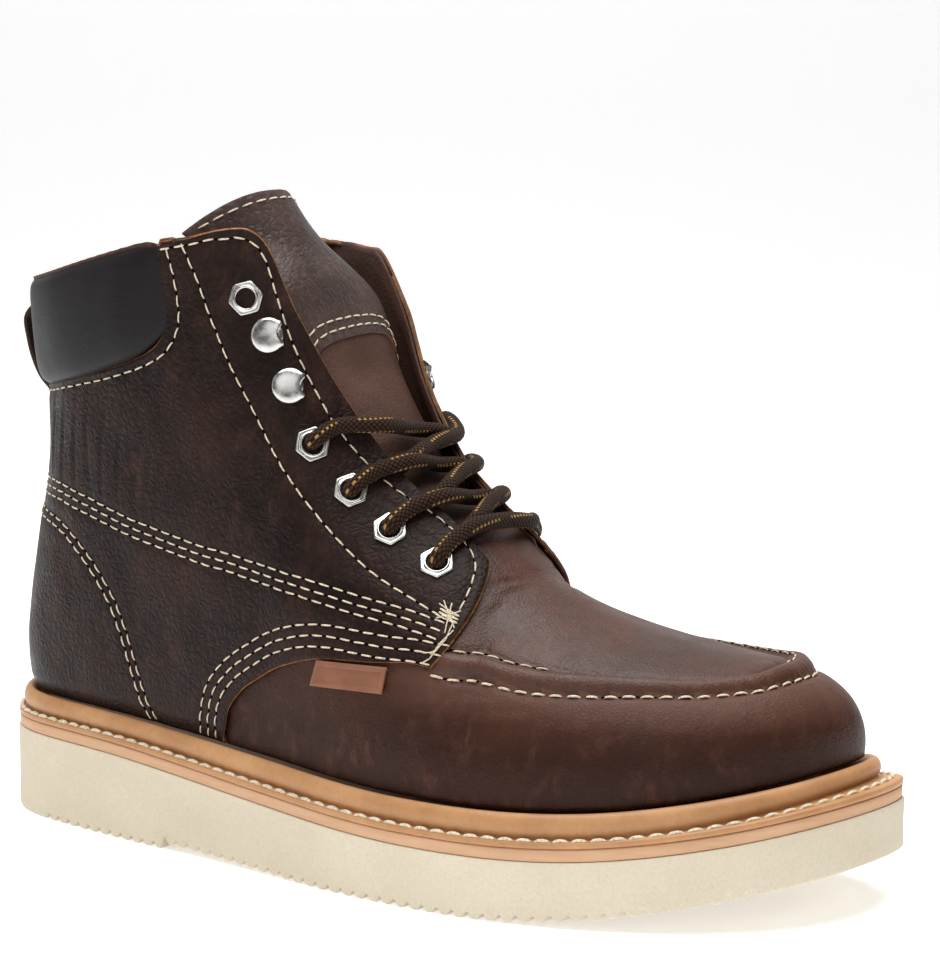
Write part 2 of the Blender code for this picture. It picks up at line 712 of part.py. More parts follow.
def build_tongue():
    rows = [tongue_row(share, TONGUE_CLEAR + TONGUE_PANEL) for share in TONGUE_LOW_SHARES]
    rows += [tongue_row(share, TONGUE_CLEAR) for share in TONGUE_PANEL_SHARES]
    across = np.linspace(-1, 1, TONGUE_ACROSS)
    for row in records(TONGUE_TOP, TONGUE_TOP_COLUMNS):
        x = row["x"] - row["sweep"] * across**2
        z = row["z"] - row["drop"] * abs(across) ** TONGUE_TOP_POWER
        rows.append(np.stack([x, row["mid"] + row["half"] * across, z], -1))
    rows = np.array(rows)
    normal = unit(np.cross(np.gradient(rows, axis=0), np.gradient(rows, axis=1)))
    inner = rows + normal * TONGUE_THICK
    loft("tongue", np.concatenate([rows, inner[:, ::-1]], 1), SOFT)


def build_collar_pad():
    """A soft band with a slot that the collar's edge stands in."""
    face = QUARTER_STEP + PAD_SLOT_GAP
    back = -WALL - PAD_SLOT_GAP
    sections = []
    for side, shares in ((1, PAD_SHARES[:0:-1]), (-1, PAD_SHARES)):
        for share in shares:
            low = float(column(PAD, PAD_COLUMNS, "rise", share))
            puff = float(column(PAD, PAD_COLUMNS, "puff", share))
            out = PAD_OUT * puff
            inward = PAD_IN * puff
            section = [
                (low, 0.0, face),
                (low + 0.12 * (1 - low), 0.0, face + 0.75 * out),
                (low + 0.5 * (1 - low), 0.0, face + out),
                (0.97, 0.0, face + 0.85 * out),
                (1.0, 0.7 * PAD_TOP, face + 0.4 * out),
                (1.0, PAD_TOP, -0.4),
                (1.0, 0.7 * PAD_TOP, back - 0.5 * inward),
                (0.97, 0.0, back - 0.9 * inward),
                (low + 0.5 * (1 - low), 0.0, back - inward),
                (low + 0.12 * (1 - low), 0.0, back - 0.7 * inward),
                (low, 0.0, back),
            ]
            slot = [low + k * (1 - low) for k in PAD_SLOT_SHARES]
            section += [(rise, 0.0, back) for rise in slot]
            section += [(1.0, PAD_SLOT_GAP, back), (1.0, PAD_SLOT_GAP, face)]
            section += [(rise, 0.0, face) for rise in reversed(slot)]
            tip = unit(rib_point(side, share, 1.0) - rib_point(side, share, 1.0 - NEAR))
            ring = []
            for rise, lift, offset in section:
                point = rib_point(side, share, rise) + rib_normal(side, share, rise) * offset
                ring.append(point + tip * lift)
            sections.append(ring)
    loft("collar_pad", sections, BLACK)


def flat_strip(name, path, thick, width, finish):
    """A band of even thickness along a path in the middle plane: a 2D outline with an extrude."""
    path = np.asarray(path, float)
    along = unit(np.gradient(path, axis=0))
    across = np.stack([-along[:, 1], along[:, 0]], -1) * thick / 2
    outline = np.concatenate([path + across, (path - across)[::-1]])
    curve = bpy.data.curves.new(name, "CURVE")
    curve.dimensions = "2D"
    curve.fill_mode = "BOTH"
    curve.extrude = width / 2 * MM
    spline = curve.splines.new("POLY")
    spline.points.add(len(outline) - 1)
    for point, (x, z) in zip(spline.points, outline):
        point.co = ((x - CENTRE_X) * MM, z * MM, 0.0, 1.0)
    spline.use_cyclic_u = True
    curve.materials.append(finish)
    obj = bpy.data.objects.new(name, curve)
    obj.rotation_euler = (np.pi / 2, 0.0, 0.0)
    obj.location = (0.0, -CENTRE_Y * MM, 0.0)
    PARTS.objects.link(obj)
    return obj


def build_pull_loop():
    rises = np.linspace(0.5, 1.0, 80)
    heel = rib_point(-1, 0.0, rises)
    path = []
    for row in records(LOOP_PATH, LOOP_COLUMNS):
        path.append((np.interp(row["z"], heel[:, 2], heel[:, 0]) - row["off"], row["z"]))
    flat_strip("pull_loop", smooth_run(path, 21), LOOP_THICK, LOOP_WIDTH, BROWN)


def smooth_run(points, count):
    """A smooth open run through a few points of any dimension."""
    points = np.asarray(points, float)
    at = np.concatenate([[0.0], np.cumsum(np.linalg.norm(np.diff(points, axis=0), axis=1))])
    names = tuple(range(points.shape[1] + 1))
    table = np.column_stack([at, points])
    reads = np.linspace(0, at[-1], count)
    return np.stack([column(table, names, k, reads) for k in names[1:]], -1)


def build_side_tag():
    shares = np.linspace(*TAG_SHARES, 6)
    top = seam_rise(shares) - 3 * STEP_HALF
    sections = []
    for share, high in zip(shares, top):
        rises = np.linspace(high, high - TAG_RISE, 3)
        face = rib_point(-1, share, rises)
        normal = rib_normal(-1, share, rises)
        lower = face + normal * GAP
        upper = face + normal * (GAP + TAG_THICK)
        sections.append(np.concatenate([lower, upper[::-1]]))
    loft("side_tag", sections, TAG)


def seat_matrix(side, share, rise):
    """A frame on the quarter's face: z out of the leather, x along the boot."""
    normal = Vector(rib_normal(side, share, rise))
    ahead = rib_point(side, share + SEAT_SPAN, rise)
    behind = rib_point(side, share - SEAT_SPAN, rise)
    along = Vector(ahead - behind)
    along = (along - normal * along.dot(normal)).normalized()
    across = normal.cross(along)
    point = rib_point(side, share, rise) + np.array(normal) * (QUARTER_STEP + SEAT)
    place = Matrix.Translation(Vector(to_scene(point)[0]))
    turn = Matrix((along, across, normal)).transposed().to_4x4()
    return place @ turn


def turned(name, profile, steps):
    """A solid of revolution about z, from a profile that runs down its outer side."""
    mesh = bpy.data.meshes.new(name)
    points = [(r * MM, 0.0, z * MM) for r, z in profile]
    edges = [(i, i + 1) for i in range(len(points) - 1)]
    mesh.from_pydata(points, edges, [])
    obj = bpy.data.objects.new(name, mesh)
    CUTTERS.objects.link(obj)
    screw = obj.modifiers.new("turn", "SCREW")
    screw.steps = steps
    screw.render_steps = steps
    screw.use_merge_vertices = True
    screw.merge_threshold = 0.00001
    screw.use_smooth_shade = False
    return obj


def finished_mesh(obj):
    """The object's evaluated mesh as a mesh of its own; the object is removed."""
    bpy.context.view_layer.update()
    graph = bpy.context.evaluated_depsgraph_get()
    mesh = bpy.data.meshes.new_from_object(obj.evaluated_get(graph))
    work = bmesh.new()
    work.from_mesh(mesh)
    bmesh.ops.remove_doubles(work, verts=work.verts, dist=WELD)
    bmesh.ops.recalc_face_normals(work, faces=work.faces)
    work.to_mesh(mesh)
    work.free()
    name = obj.name
    bpy.data.objects.remove(obj, do_unlink=True)
    mesh.name = name
    return mesh


def rod(name, radius, low, high, sides):
    """A prism or cylinder about z between two heights."""
    work = bmesh.new()
    lift = Matrix.Translation((0.0, 0.0, (low + high) / 2 * MM))
    bmesh.ops.create_cone(
        work,
        cap_ends=True,
        segments=sides,
        radius1=radius * MM,
        radius2=radius * MM,
        depth=(high - low) * MM,
        matrix=lift,
    )
    mesh = bpy.data.meshes.new(name)
    work.to_mesh(mesh)
    work.free()
    obj = bpy.data.objects.new(name, mesh)
    CUTTERS.objects.link(obj)
    return obj


def eyelet_mesh():
    """A six-sided plate with a barrel through the leather."""
    barrel_end = -(SEAT + QUARTER_STEP + WALL)
    plate = rod("eyelet", EYELET_ACROSS / 2 / np.cos(np.pi / 6), 0.0, EYELET_PLATE, 6)
    barrel = rod("barrel", EYELET_BORE + BARREL_WALL, barrel_end, EYELET_PLATE / 2, BARREL_SIDES)
    bore = rod("bore", EYELET_BORE, barrel_end - 1, EYELET_PLATE + 1, BARREL_SIDES)
    cut(plate, barrel, "UNION")
    cut(plate, bore)
    mesh = finished_mesh(plate)
    for helper in (barrel, bore):
        bpy.data.objects.remove(helper, do_unlink=True)
    return mesh


def hook_mesh():
    """A round foot, a neck and a domed head that the lace catches behind."""
    profile = [
        (0.0, HOOK_HEIGHT),
        (0.62 * HOOK_RADIUS, 0.90 * HOOK_HEIGHT),
        (HOOK_RADIUS, 0.70 * HOOK_HEIGHT),
        (0.96 * HOOK_RADIUS, 0.58 * HOOK_HEIGHT),
        (0.36 * HOOK_RADIUS, 0.56 * HOOK_HEIGHT),
        (0.36 * HOOK_RADIUS, 0.22 * HOOK_HEIGHT),
        (0.72 * HOOK_RADIUS, 0.18 * HOOK_HEIGHT),
        (0.72 * HOOK_RADIUS, 0.0),
        (0.0, 0.0),
    ]
    return finished_mesh(turned("hook", profile, HOOK_STEPS))


def build_fittings(upper):
    meshes = {"eyelet": eyelet_mesh(), "hook": hook_mesh()}
    for mesh in meshes.values():
        mesh.materials.clear()
        mesh.materials.append(NICKEL)
    for side, label in ((-1, "lat"), (1, "med")):
        for row in records(FITTINGS, FITTING_COLUMNS):
            name = row["name"].format(label)
            obj = bpy.data.objects.new(name, meshes[name.split("_")[0]])
            obj.matrix_world = seat_matrix(side, row["share"], row["rise"])
            PARTS.objects.link(obj)
            if name.startswith("eyelet"):
                hole = as_cutter(rod(f"hole_{name}", HOLE_RADIUS, *HOLE_REACH, BARREL_SIDES))
                hole.matrix_world = obj.matrix_world
                cut(upper, hole)


def throat_point(share, across, lift):
    """A place over the throat: across is -1 and 1 at its edges, -2 and 2 at the eyelets."""
    edges = [rib_point(side, share, 1.0) for side in (-1, 1)]
    along = rib_point(-1, share - NEAR, 1.0) - rib_point(-1, share + NEAR, 1.0)
    straight = unit(np.cross(edges[1] - edges[0], along))
    straight *= np.sign(straight[2])
    side = -1 if across < 0 else 1
    beyond = max(abs(across) - 1, 0.0)
    rise = 1.0 - (1.0 - EYELET_RISE) * beyond
    if beyond:
        base = rib_point(side, share, rise)
    else:
        base = edges[0] + (across + 1) / 2 * (edges[1] - edges[0])
    lean = ease(abs(across) - 0.5)
    out = (1 - lean) * straight + lean * rib_normal(side, share, rise)
    return base + unit(out) * lift


def lace_path(side, share, edge, far, reach, mid_lift, end_lift):
    """A lace from beside its own eyelet, over the flap's edge and across the throat."""
    start = edge + (LACE_START - 1) * (share - edge)
    stops = [
        (start, LACE_START, LACE_LIFT),
        (edge, 1.0, LACE_LIFT),
        ((edge + far) / 2, 0.0, mid_lift),
    ]
    if reach > 1:
        stops += [(far, -1.0, LACE_LIFT), (start, -reach, end_lift)]
    else:
        stops.append((far, -reach, end_lift))
    points = [throat_point(at, side * across, lift) for at, across, lift in stops]
    return smooth_run(points, LACE_POINTS)


def tube(name, points, radius):
    """A round cord along the points, as a mesh."""
    curve = bpy.data.curves.new(name, "CURVE")
    curve.dimensions = "3D"
    curve.bevel_depth = radius * MM
    curve.bevel_resolution = 2
    curve.use_fill_caps = True
    spline = curve.splines.new("POLY")
    spline.points.add(len(points) - 1)
    for knot, place in zip(spline.points, to_scene(points)):
        knot.co = (*place, 1.0)
    guide = bpy.data.objects.new(name, curve)
    CUTTERS.objects.link(guide)
    mesh = finished_mesh(guide)
    return bpy.data.objects.new(name, mesh)


def build_lace():
    """The lace over the throat as one solid."""
    cords = []
    for row in records(LACES, LACE_COLUMNS):
        name = row.pop("name")
        cords.append(tube(name, lace_path(**row), LACE_RADIUS))
    lace = cords[0]
    lace.name = "lace_crossings"
    lace.data.materials.clear()
    lace.data.materials.append(CORD)
    PARTS.objects.link(lace)
    for cord in cords[1:]:
        CUTTERS.objects.link(cord)
        cord.hide_render = True
        cord.display_type = "WIRE"
        cut(lace, cord, "UNION")


build_outsole()
build_midsole()
build_insole()
build_welt()
BOOT_UPPER = build_upper()
build_tongue()
build_collar_pad()
build_pull_loop()
build_side_tag()
build_fittings(BOOT_UPPER)
build_lace()
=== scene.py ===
"""The looks of a right-foot work boot: leather panels, sewn rows, lace, fittings and a rippled wedge sole."""

import bmesh
import bpy
import numpy as np
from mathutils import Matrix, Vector, kdtree
from mathutils.bvhtree import BVHTree


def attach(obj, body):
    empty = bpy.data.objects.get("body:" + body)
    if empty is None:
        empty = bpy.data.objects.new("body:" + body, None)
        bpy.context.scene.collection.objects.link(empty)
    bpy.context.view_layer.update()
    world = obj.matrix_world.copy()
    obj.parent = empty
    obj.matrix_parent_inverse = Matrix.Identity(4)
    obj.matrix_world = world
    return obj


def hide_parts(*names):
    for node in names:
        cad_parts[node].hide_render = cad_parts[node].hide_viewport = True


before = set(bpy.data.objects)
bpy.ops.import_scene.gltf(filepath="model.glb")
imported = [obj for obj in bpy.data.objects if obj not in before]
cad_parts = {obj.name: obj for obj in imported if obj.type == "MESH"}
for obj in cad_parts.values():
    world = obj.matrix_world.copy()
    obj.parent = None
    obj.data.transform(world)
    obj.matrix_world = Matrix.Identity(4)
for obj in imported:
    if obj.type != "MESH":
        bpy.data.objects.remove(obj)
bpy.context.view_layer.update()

# Sizes are in millimetres: x forward from the heel, -y to the lateral side, z up from the floor.
MM = 0.001
TINY = 1e-9
WELD = 4e-6
NEAR = 0.004
LENGTH = 300.0
TIP_Y = 17.0
GAP = 0.3
CENTRE_X = 150.0
CENTRE_Y = -0.83
SIDES = (-1, 1)
RIGHT_TURN = np.pi / 2
EDGE_UNITS = np.array((355.0, 130.0))

# The sole's edge at stations along its length.
EDGE_COLUMNS = ("x", "lateral", "medial")
SOLE_EDGE = [
    (4.0, -15.0, 14.5),
    (16.0, -27.5, 28.0),
    (40.0, -35.5, 36.0),
    (75.0, -41.5, 37.5),
    (110.0, -46.5, 37.5),
    (150.0, -53.5, 42.5),
    (185.0, -56.5, 50.0),
    (215.0, -54.5, 54.5),
    (245.0, -46.5, 54.0),
    (268.0, -34.5, 50.0),
    (286.0, -19.0, 42.5),
    (296.5, -1.0, 32.0),
]

# Heights of the wedge's top and of the welt bead's top along the sole.
HEIGHT_COLUMNS = ("x", "wedge", "bead")
SOLE_HEIGHTS = [
    (0.0, 26.7, 39.4),
    (60.0, 26.0, 38.0),
    (120.0, 21.2, 34.0),
    (180.0, 17.8, 30.6),
    (240.0, 19.8, 33.0),
    (270.0, 24.5, 38.0),
    (300.0, 31.5, 45.5),
]
MIDSOLE_THICK = 3.8
MIDSOLE_INSET = 0.6
INSOLE_THICK = 4.0
INSOLE_CLEAR = 0.8
LIP_INSET = 0.4
BEAD_WIDTH = 4.6
BEAD_SHARE = 0.72
BEAD_TALL = 0.54
LIP_FACE = 1.9
CHANNEL_AT = 0.5
WELT_SEAT = 0.15
LIP_FOOT = [(-0.25, 0.0), (0.0, 0.3)]
LIP_EDGE = [(0.0, -0.7), (-0.2, -0.2), (-0.6, 0.0)]
LIP_CHANNEL = [(0.6, 0.0), (0.0, -0.35), (-0.6, -0.02)]
LIP_BACK = [(0.25, -0.1), (0.02, -0.45)]
BEAD_ANGLES = (-58, -34, -12, 10, 32, 54, 74, 92, 116, 142)

# The underside: a flat heel, a breast step into the arch, a flat forefoot and the toe spring.
BREAST_X = 84.0
ARCH_RISE = 2.0
ARCH_END = 150.0
SPRING_START = 200.0
TOE_SPRING = 17.0
SPRING_POWER = 1.8
RIPPLE_PITCH = 4.95
RIPPLE_FIRST = 30.4
RIPPLE_COUNT = 51
RIPPLE_DEPTH = 1.8
RIPPLE_HALF = 1.75
WAIST_PANEL = (46.0, 27.0)
WAIST_PANEL_AT = (129.0, -4.0)
WAIST_PANEL_TOP = 3.6
WAIST_RIM_OUT = 0.8
WAIST_RIM_INNER = (-2.6, 0.3)
WAIST_RIM_TREAD = [(-2.4, 0.5), (-1.6, 0.0), (0.0, 0.0), (0.5, 0.6)]
WAIST_RIM_TOP = (0.5, 4.2)
WAIST_CORNER = 3.0
SOLE_STATIONS = 760
SOLE_ACROSS = 40
WALL_PROFILE = [
    (0.5, 0.0),
    (0.15, 0.02),
    (0.0, 0.06),
    (0.12, 0.3),
    (0.12, 0.62),
    (0.0, 0.90),
    (0.1, 0.97),
    (0.5, 1.0),
]

# Ribs of the upper, each from the welt to the collar, throat or top of the foot. "share" runs along
# half of the sole's edge from the heel (0) to the toe (1). The rib ends at x, mid -/+ gap, z, where
# the medial end is lower by "drop". Its two handles lean out from the foot and rise, or fall.
RIB_COLUMNS = ("share", "x", "mid", "gap", "z", "drop", "low_out", "low_up", "high_out", "high_fall")
RIBS = [
    (0.0, 16.0, 0.0, 0.0, 168.0, 0.0, 9.5, 36.0, -14.0, 55.0),
    (0.08, 21.5, 0.0, 20.5, 168.5, 0.0, 9.0, 36.0, -13.0, 55.0),
    (0.16, 38.5, 0.0, 34.5, 171.5, 0.0, 7.0, 38.0, -8.0, 55.0),
    (0.25, 64.0, 0.0, 41.0, 178.0, 1.5, 4.0, 40.0, -4.0, 55.0),
    (0.33, 92.5, 0.0, 40.0, 185.5, 5.0, 3.0, 40.0, 0.0, 50.0),
    (0.385, 110.0, 0.0, 34.0, 190.5, 9.5, 3.0, 40.0, 4.0, 45.0),
    (0.405, 116.0, 0.0, 31.0, 186.0, 8.5, 3.0, 40.0, 6.0, 42.0),
    (0.44, 126.3, 0.0, 28.5, 165.0, 4.0, 3.0, 38.0, 9.5, 35.0),
    (0.48, 137.0, 0.0, 22.5, 143.0, 1.0, 3.0, 36.0, 15.0, 27.0),
    (0.52, 153.0, 0.0, 17.0, 120.5, 0.0, 3.0, 34.0, 19.0, 17.0),
    (0.555, 170.5, 0.0, 14.5, 106.0, 0.0, 3.0, 32.0, 20.0, 10.0),
    (0.585, 185.0, 0.5, 13.5, 95.0, 0.0, 3.0, 30.0, 20.0, 6.0),
    (0.60, 190.0, 1.0, 9.0, 91.5, 0.0, 3.0, 30.0, 22.0, 4.0),
    (0.612, 193.0, 1.0, 0.0, 90.0, 0.0, 3.0, 30.0, 27.0, 3.0),
    (0.66, 206.0, 2.0, 0.0, 83.5, 0.0, 3.5, 29.0, 30.0, 3.0),
    (0.72, 222.0, 4.0, 0.0, 77.5, 0.0, 4.0, 29.0, 30.0, 2.0),
    (0.80, 240.0, 7.0, 0.0, 73.5, 0.0, 4.0, 27.0, 26.0, 2.0),
    (0.88, 252.0, 10.0, 0.0, 71.5, 0.0, 3.5, 23.5, 22.0, 2.0),
    (1.00, 252.0, 10.0, 0.0, 71.5, 0.0, 3.0, 20.0, 22.0, 2.5),
]
THROAT_END = 0.612
POLE = 0.88
WALL = 2.0
HEEL_INSET = 6.0
SIDE_INSET = 7.5
TOE_INSET = 12.0
HEEL_INSET_END = 0.25
TOE_INSET_START = 0.72

# The quarter: its lower edge and the edge of its collar window as rises at shares, and its front edge
# as shares at rises. Its leather stands proud of the vamp that it overlaps.
EDGE_NAMES = ("share", "rise")
QUARTER_FOOT = 0.348
LOWER_EDGE = [
    (0.348, 0.0),
    (0.3525, 0.050),
    (0.357, 0.088),
    (0.373, 0.136),
    (0.400, 0.180),
    (0.435, 0.238),
    (0.473, 0.292),
    (0.510, 0.336),
    (0.545, 0.376),
    (0.572, 0.412),
    (0.587, 0.428),
]
WINDOW_EDGE = [
    (0.0, 0.803),
    (0.20, 0.806),
    (0.274, 0.806),
    (0.292, 0.811),
    (0.303, 0.820),
    (0.310, 0.834),
    (0.3145, 0.860),
    (0.3165, 0.900),
    (0.3175, 0.950),
    (0.3185, 1.014),
]
TOP_EDGE = [
    (0.3185, 1.014),
    (0.33, 1.011),
    (0.34, 1.007),
    (0.35, 1.001),
    (0.36, 0.994),
    (0.37, 0.990),
    (0.38, 0.992),
    (0.39, 1.0),
    (0.40, 1.002),
    (0.415, 1.0),
    (0.60, 1.0),
]
FRONT_NAMES = ("rise", "share")
FRONT_EDGE = [
    (0.428, 0.577),
    (0.50, 0.5845),
    (0.594, 0.591),
    (0.732, 0.594),
    (0.832, 0.592),
    (0.938, 0.587),
    (1.0, 0.582),
]
FRONT_CORNER = 0.587
FRONT_LEAN_START = 0.50
CORNER_START = 0.555
CORNER_RISE = 0.945
QUARTER_FACE = 1.4
HEEL_FACES = [(0.0, 0.4), (0.12, -0.5), (0.3, -0.9), (0.5, 0.2), (0.62, 0.6), (0.72, 1.6), (0.80, 3.0)]
HEEL_FACE_END = 0.16
WINDOW_LEAN = 0.0115
LEAN_START = 0.30
LEAN_END = 0.375
LEAN_SOFT = 0.055
LEAN_RISE = 0.87
LEAN_CLIMB = 0.15
QUARTER_LEATHER = 1.3
FOOT_TUCK = 0.05
EDGE_ROLL = 0.45
GRAIN_WAVE = 0.16
QUARTER_STATIONS = (
    (0.0, 0.0036),
    (0.270, 0.0022),
    (0.300, 0.0007),
    (0.3195, 0.0030),
    (0.346, 0.0012),
    (0.376, 0.0036),
    (0.550, 0.0022),
    (FRONT_CORNER, 0.0022),
)
QUARTER_ROWS = ((0.0, 0.006), (0.012, 0.0108), (0.988, 0.006), (1.0, 0.006))
SEWN_PULL = 0.30
SEWN_WIDTH = 1.2
LOW_EDGE_TAN = 0.76
COUNTER_STEP = 0.45
COUNTER_SOFT = 2.4
COUNTER_TOP = 0.53
BACK_STRIP = 0.0115
BACK_LIFT = 0.45
BACK_RISES = (0.004, 0.802)
BACK_COUNTS = (90, 7)

# The raised toe seam: its outer sewn line and its inner crease as rises along the shares.
MOC_NAMES = ("share", "outer", "inner")
MOC = [
    (0.56, 0.405, 0.505),
    (0.60, 0.417, 0.512),
    (0.63, 0.425, 0.520),
    (0.69, 0.450, 0.557),
    (0.726, 0.470, 0.580),
    (0.761, 0.490, 0.594),
    (0.80, 0.504, 0.608),
    (0.838, 0.524, 0.640),
    (0.868, 0.544, 0.672),
    (0.91, 0.572, 0.705),
    (0.95, 0.594, 0.735),
    (1.0, 0.612, 0.758),
]
MOC_HEIGHT = 2.1
FAR_MOC_MORE = {-1: 0.0, 1: 0.9}
FAR_MOC_END = 0.99
FAR_MOC_SOFT = 0.12
MOC_GROOVE = 0.55
MOC_CREASE = 0.75
PUCKER = 0.28
PUCKER_ABOVE = 0.6
PUCKER_WIDTH = 1.6
GROOVE_BELOW = 0.4
GROOVE_WIDTH = 1.2
PLUG_SOFT = 9.0
VAMP_START = 0.335
VAMP_UNDER = 0.09
VAMP_RISE_START = 0.52
VAMP_RISE_END = 0.572
VAMP_LEATHER = 1.2
UNDERCUT_SOFT = 0.01
VAMP_WAVE = 0.6
# A painted highlight along the toe seam's roll: where it lies across the roll, its width and its strength.
RIDGE_HIGHLIGHT_AT = 0.55
RIDGE_HIGHLIGHT_WIDTH = 0.35
RIDGE_HIGHLIGHT_SHARE = 0.6
EASED_PLUG = (0.03, 0.12)
EASED_RIDGE = (0.80, 0.14)
EASED_INSTEP = (0.72, 0.06)
EASED_THROAT = (0.565, 0.02)
EASE_PASSES = 70
VAMP_UNDERCUT = 0.35
MOC_SHOWN = (0.572, 0.592)
MOC_ROUND = 0.62
MOC_LEAN = 1.35
MOC_PITCH_ON_EDGE = 5.4
PLUG_CROWN = -0.2
BRIDGE_FROM = 0.55
BRIDGE_CROWN = 0.06
VAMP_STATIONS = (
    (VAMP_START, 0.005),
    (0.54, 0.0027),
    (BRIDGE_FROM, 0.0025),
    (THROAT_END, 0.0027),
    (1.0, 0.0027),
)
VAMP_ROWS = ((0.0, 0.0165), (1.0, 0.0165))
MOC_RUN_COLUMNS = ("line", "side", "start", "to", "nudge")
MOC_RUNS = [
    [("outer", -1, 0.581, 1.0, -0.004), ("outer", 1, 0.998, 0.581, -0.004)],
    [("inner", -1, 0.581, 0.668, 0.006)],
    [("inner", 1, 0.985, 0.581, -0.016)],
]
SETTLE_FROM = 5.0

# Soft creases in the leather: where each lies on its panel, the way it runs in degrees above level, and
# its length, width and depth.
CREASE_COLUMNS = ("share", "rise", "slope", "length", "width", "depth")
VAMP_CREASES = [
    (0.571, 0.292, 28.0, 9.0, 2.6, 0.55),
    (0.590, 0.262, 24.0, 11.0, 2.4, 0.45),
    (0.606, 0.226, 20.0, 10.0, 2.2, 0.35),
    (0.612, 0.372, 12.0, 9.0, 2.2, 0.40),
    (0.640, 0.338, 16.0, 12.0, 2.0, 0.30),
    (0.670, 0.312, 20.0, 9.0, 2.0, 0.22),
    (0.602, 0.900, 62.0, 7.0, 1.8, 0.40),
    (0.612, 0.860, 66.0, 8.0, 1.8, 0.35),
    (0.628, 0.830, 58.0, 8.0, 2.0, 0.28),
    (0.608, 0.740, 74.0, 8.0, 2.0, 0.30),
    (0.640, 0.720, 50.0, 10.0, 2.4, 0.22),
]
QUARTER_CREASES = [
    (0.105, 0.700, 84.0, 10.0, 1.7, 0.42),
    (0.132, 0.680, 84.0, 12.0, 1.6, 0.46),
    (0.158, 0.664, 80.0, 13.0, 1.5, 0.46),
    (0.182, 0.652, 78.0, 14.0, 1.5, 0.48),
    (0.205, 0.660, 82.0, 12.0, 1.5, 0.42),
    (0.227, 0.640, 74.0, 13.0, 1.5, 0.42),
    (0.250, 0.622, 72.0, 12.0, 1.5, 0.36),
    (0.274, 0.600, 66.0, 11.0, 1.7, 0.30),
    (0.300, 0.580, 58.0, 10.0, 1.8, 0.24),
    (0.345, 0.690, 24.0, 8.0, 1.8, 0.18),
    (0.480, 0.800, 30.0, 7.0, 1.7, 0.24),
    (0.518, 0.850, 26.0, 7.0, 1.7, 0.28),
    (0.548, 0.840, 34.0, 6.0, 1.6, 0.26),
]
CREASE_UNIT = 105.0
CREASE_BEND = 0.16

LINING_DEPTH = 1.25
LINING_THICK = 0.75
LINING_STATIONS = ((0.0, 0.012), (0.30, 0.003), (0.33, 0.012), (0.56, 0.006), (1.0, 0.012))
LINING_ROWS = ((0.0, 0.03), (0.9, 0.0125), (1.0, 0.0125))
LINING_FRONT = 0.58
LINING_SEWN = 0.045
LINING_UNDER_PAD = 0.86
LINING_LOW = 0.003
SEWN_DEPTH = 0.1

# Rows of stitches on each side of the upper.
EYESTAY_ROW = [
    (0.333, 0.985),
    (0.344, 0.924),
    (0.361, 0.812),
    (0.385, 0.706),
    (0.409, 0.650),
    (0.446, 0.634),
    (0.481, 0.630),
    (0.520, 0.616),
    (0.557, 0.607),
    (0.582, 0.612),
]
CROSS_ROW = [
    (0, 0.598),
    (0.06, 0.594),
    (0.11, 0.587),
    (0.152, 0.573),
    (0.177, 0.556),
    (0.204, 0.536),
    (0.23, 0.513),
    (0.253, 0.4915),
    (0.275, 0.472),
    (0.315, 0.4395),
    (0.334, 0.4255),
    (0.354, 0.411),
    (0.368, 0.4025),
    (0.382, 0.397),
    (0.393, 0.394),
    (0.405, 0.3955),
    (0.418, 0.405),
    (0.431, 0.42),
    (0.45, 0.442),
    (0.469, 0.4635),
    (0.485, 0.4825),
    (0.5, 0.502),
    (0.525, 0.534),
    (0.552, 0.564),
    (0.575, 0.592),
]
EDGE_ROW = [
    (0.3155, 0.995),
    (0.323, 0.994),
    (0.334, 0.990),
    (0.353, 0.980),
    (0.374, 0.968),
    (0.392, 0.976),
    (0.401, 0.974),
    (0.409, 0.966),
    (0.419, 0.946),
    (0.431, 0.930),
    (0.448, 0.912),
    (0.467, 0.904),
    (0.483, 0.898),
    (0.511, 0.910),
    (0.529, 0.928),
    (0.546, 0.948),
    (0.560, 0.953),
    (0.572, 0.942),
    (0.579, 0.900),
    (0.584, 0.790),
    (0.585, 0.694),
    (0.582, 0.630),
]
COUNTER_ROW = [
    (0.0, 0.530),
    (0.06, 0.522),
    (0.11, 0.506),
    (0.155, 0.476),
    (0.182, 0.432),
    (0.204, 0.380),
    (0.219, 0.332),
    (0.229, 0.290),
    (0.237, 0.234),
    (0.244, 0.170),
    (0.251, 0.102),
    (0.263, 0.012),
]
ROW_LOWEST = 0.012
ROW_HIGHEST = 0.997
FRONT_CLEAR = 0.004
FRONT_ROW_TOP = 0.93
CROSS_GAPS = (0.0, 2.6, 5.2)
COUNTER_GAPS = (0.0, 2.3)
LOWER_GAPS = (4.4, 7.6, 10.8)
LOWER_CLOSER = 2.8
LOWER_CLOSING = (0.43, 0.56)
WINDOW_ROW = [
    (0.0, 0.782),
    (0.12, 0.785),
    (0.20, 0.786),
    (0.261, 0.785),
    (0.295, 0.789),
    (0.307, 0.795),
    (0.315, 0.805),
    (0.322, 0.822),
    (0.3265, 0.848),
    (0.3265, 0.880),
    (0.3245, 0.920),
    (0.321, 0.960),
    (0.318, 0.985),
]
BARTACK_AT = (0.572, 0.648)
BARTACK_SIZE = (0.016, 0.05)
BARTACK_TURNS = 7
BARTACK_CROSSES = [
    [(0.574, 0.668), (0.586, 0.590)],
    [(0.586, 0.664), (0.573, 0.594)],
    [(0.579, 0.676), (0.581, 0.560)],
    [(0.584, 0.600), (0.583, 0.540), (0.579, 0.496), (0.575, 0.452), (0.570, 0.428)],
    [(0.586, 0.580), (0.580, 0.520), (0.577, 0.480), (0.570, 0.462)],
]
BARTACK_LIFT = 0.45
BARTACK_RADIUS = 0.21
BARTACK_AROUND = 6

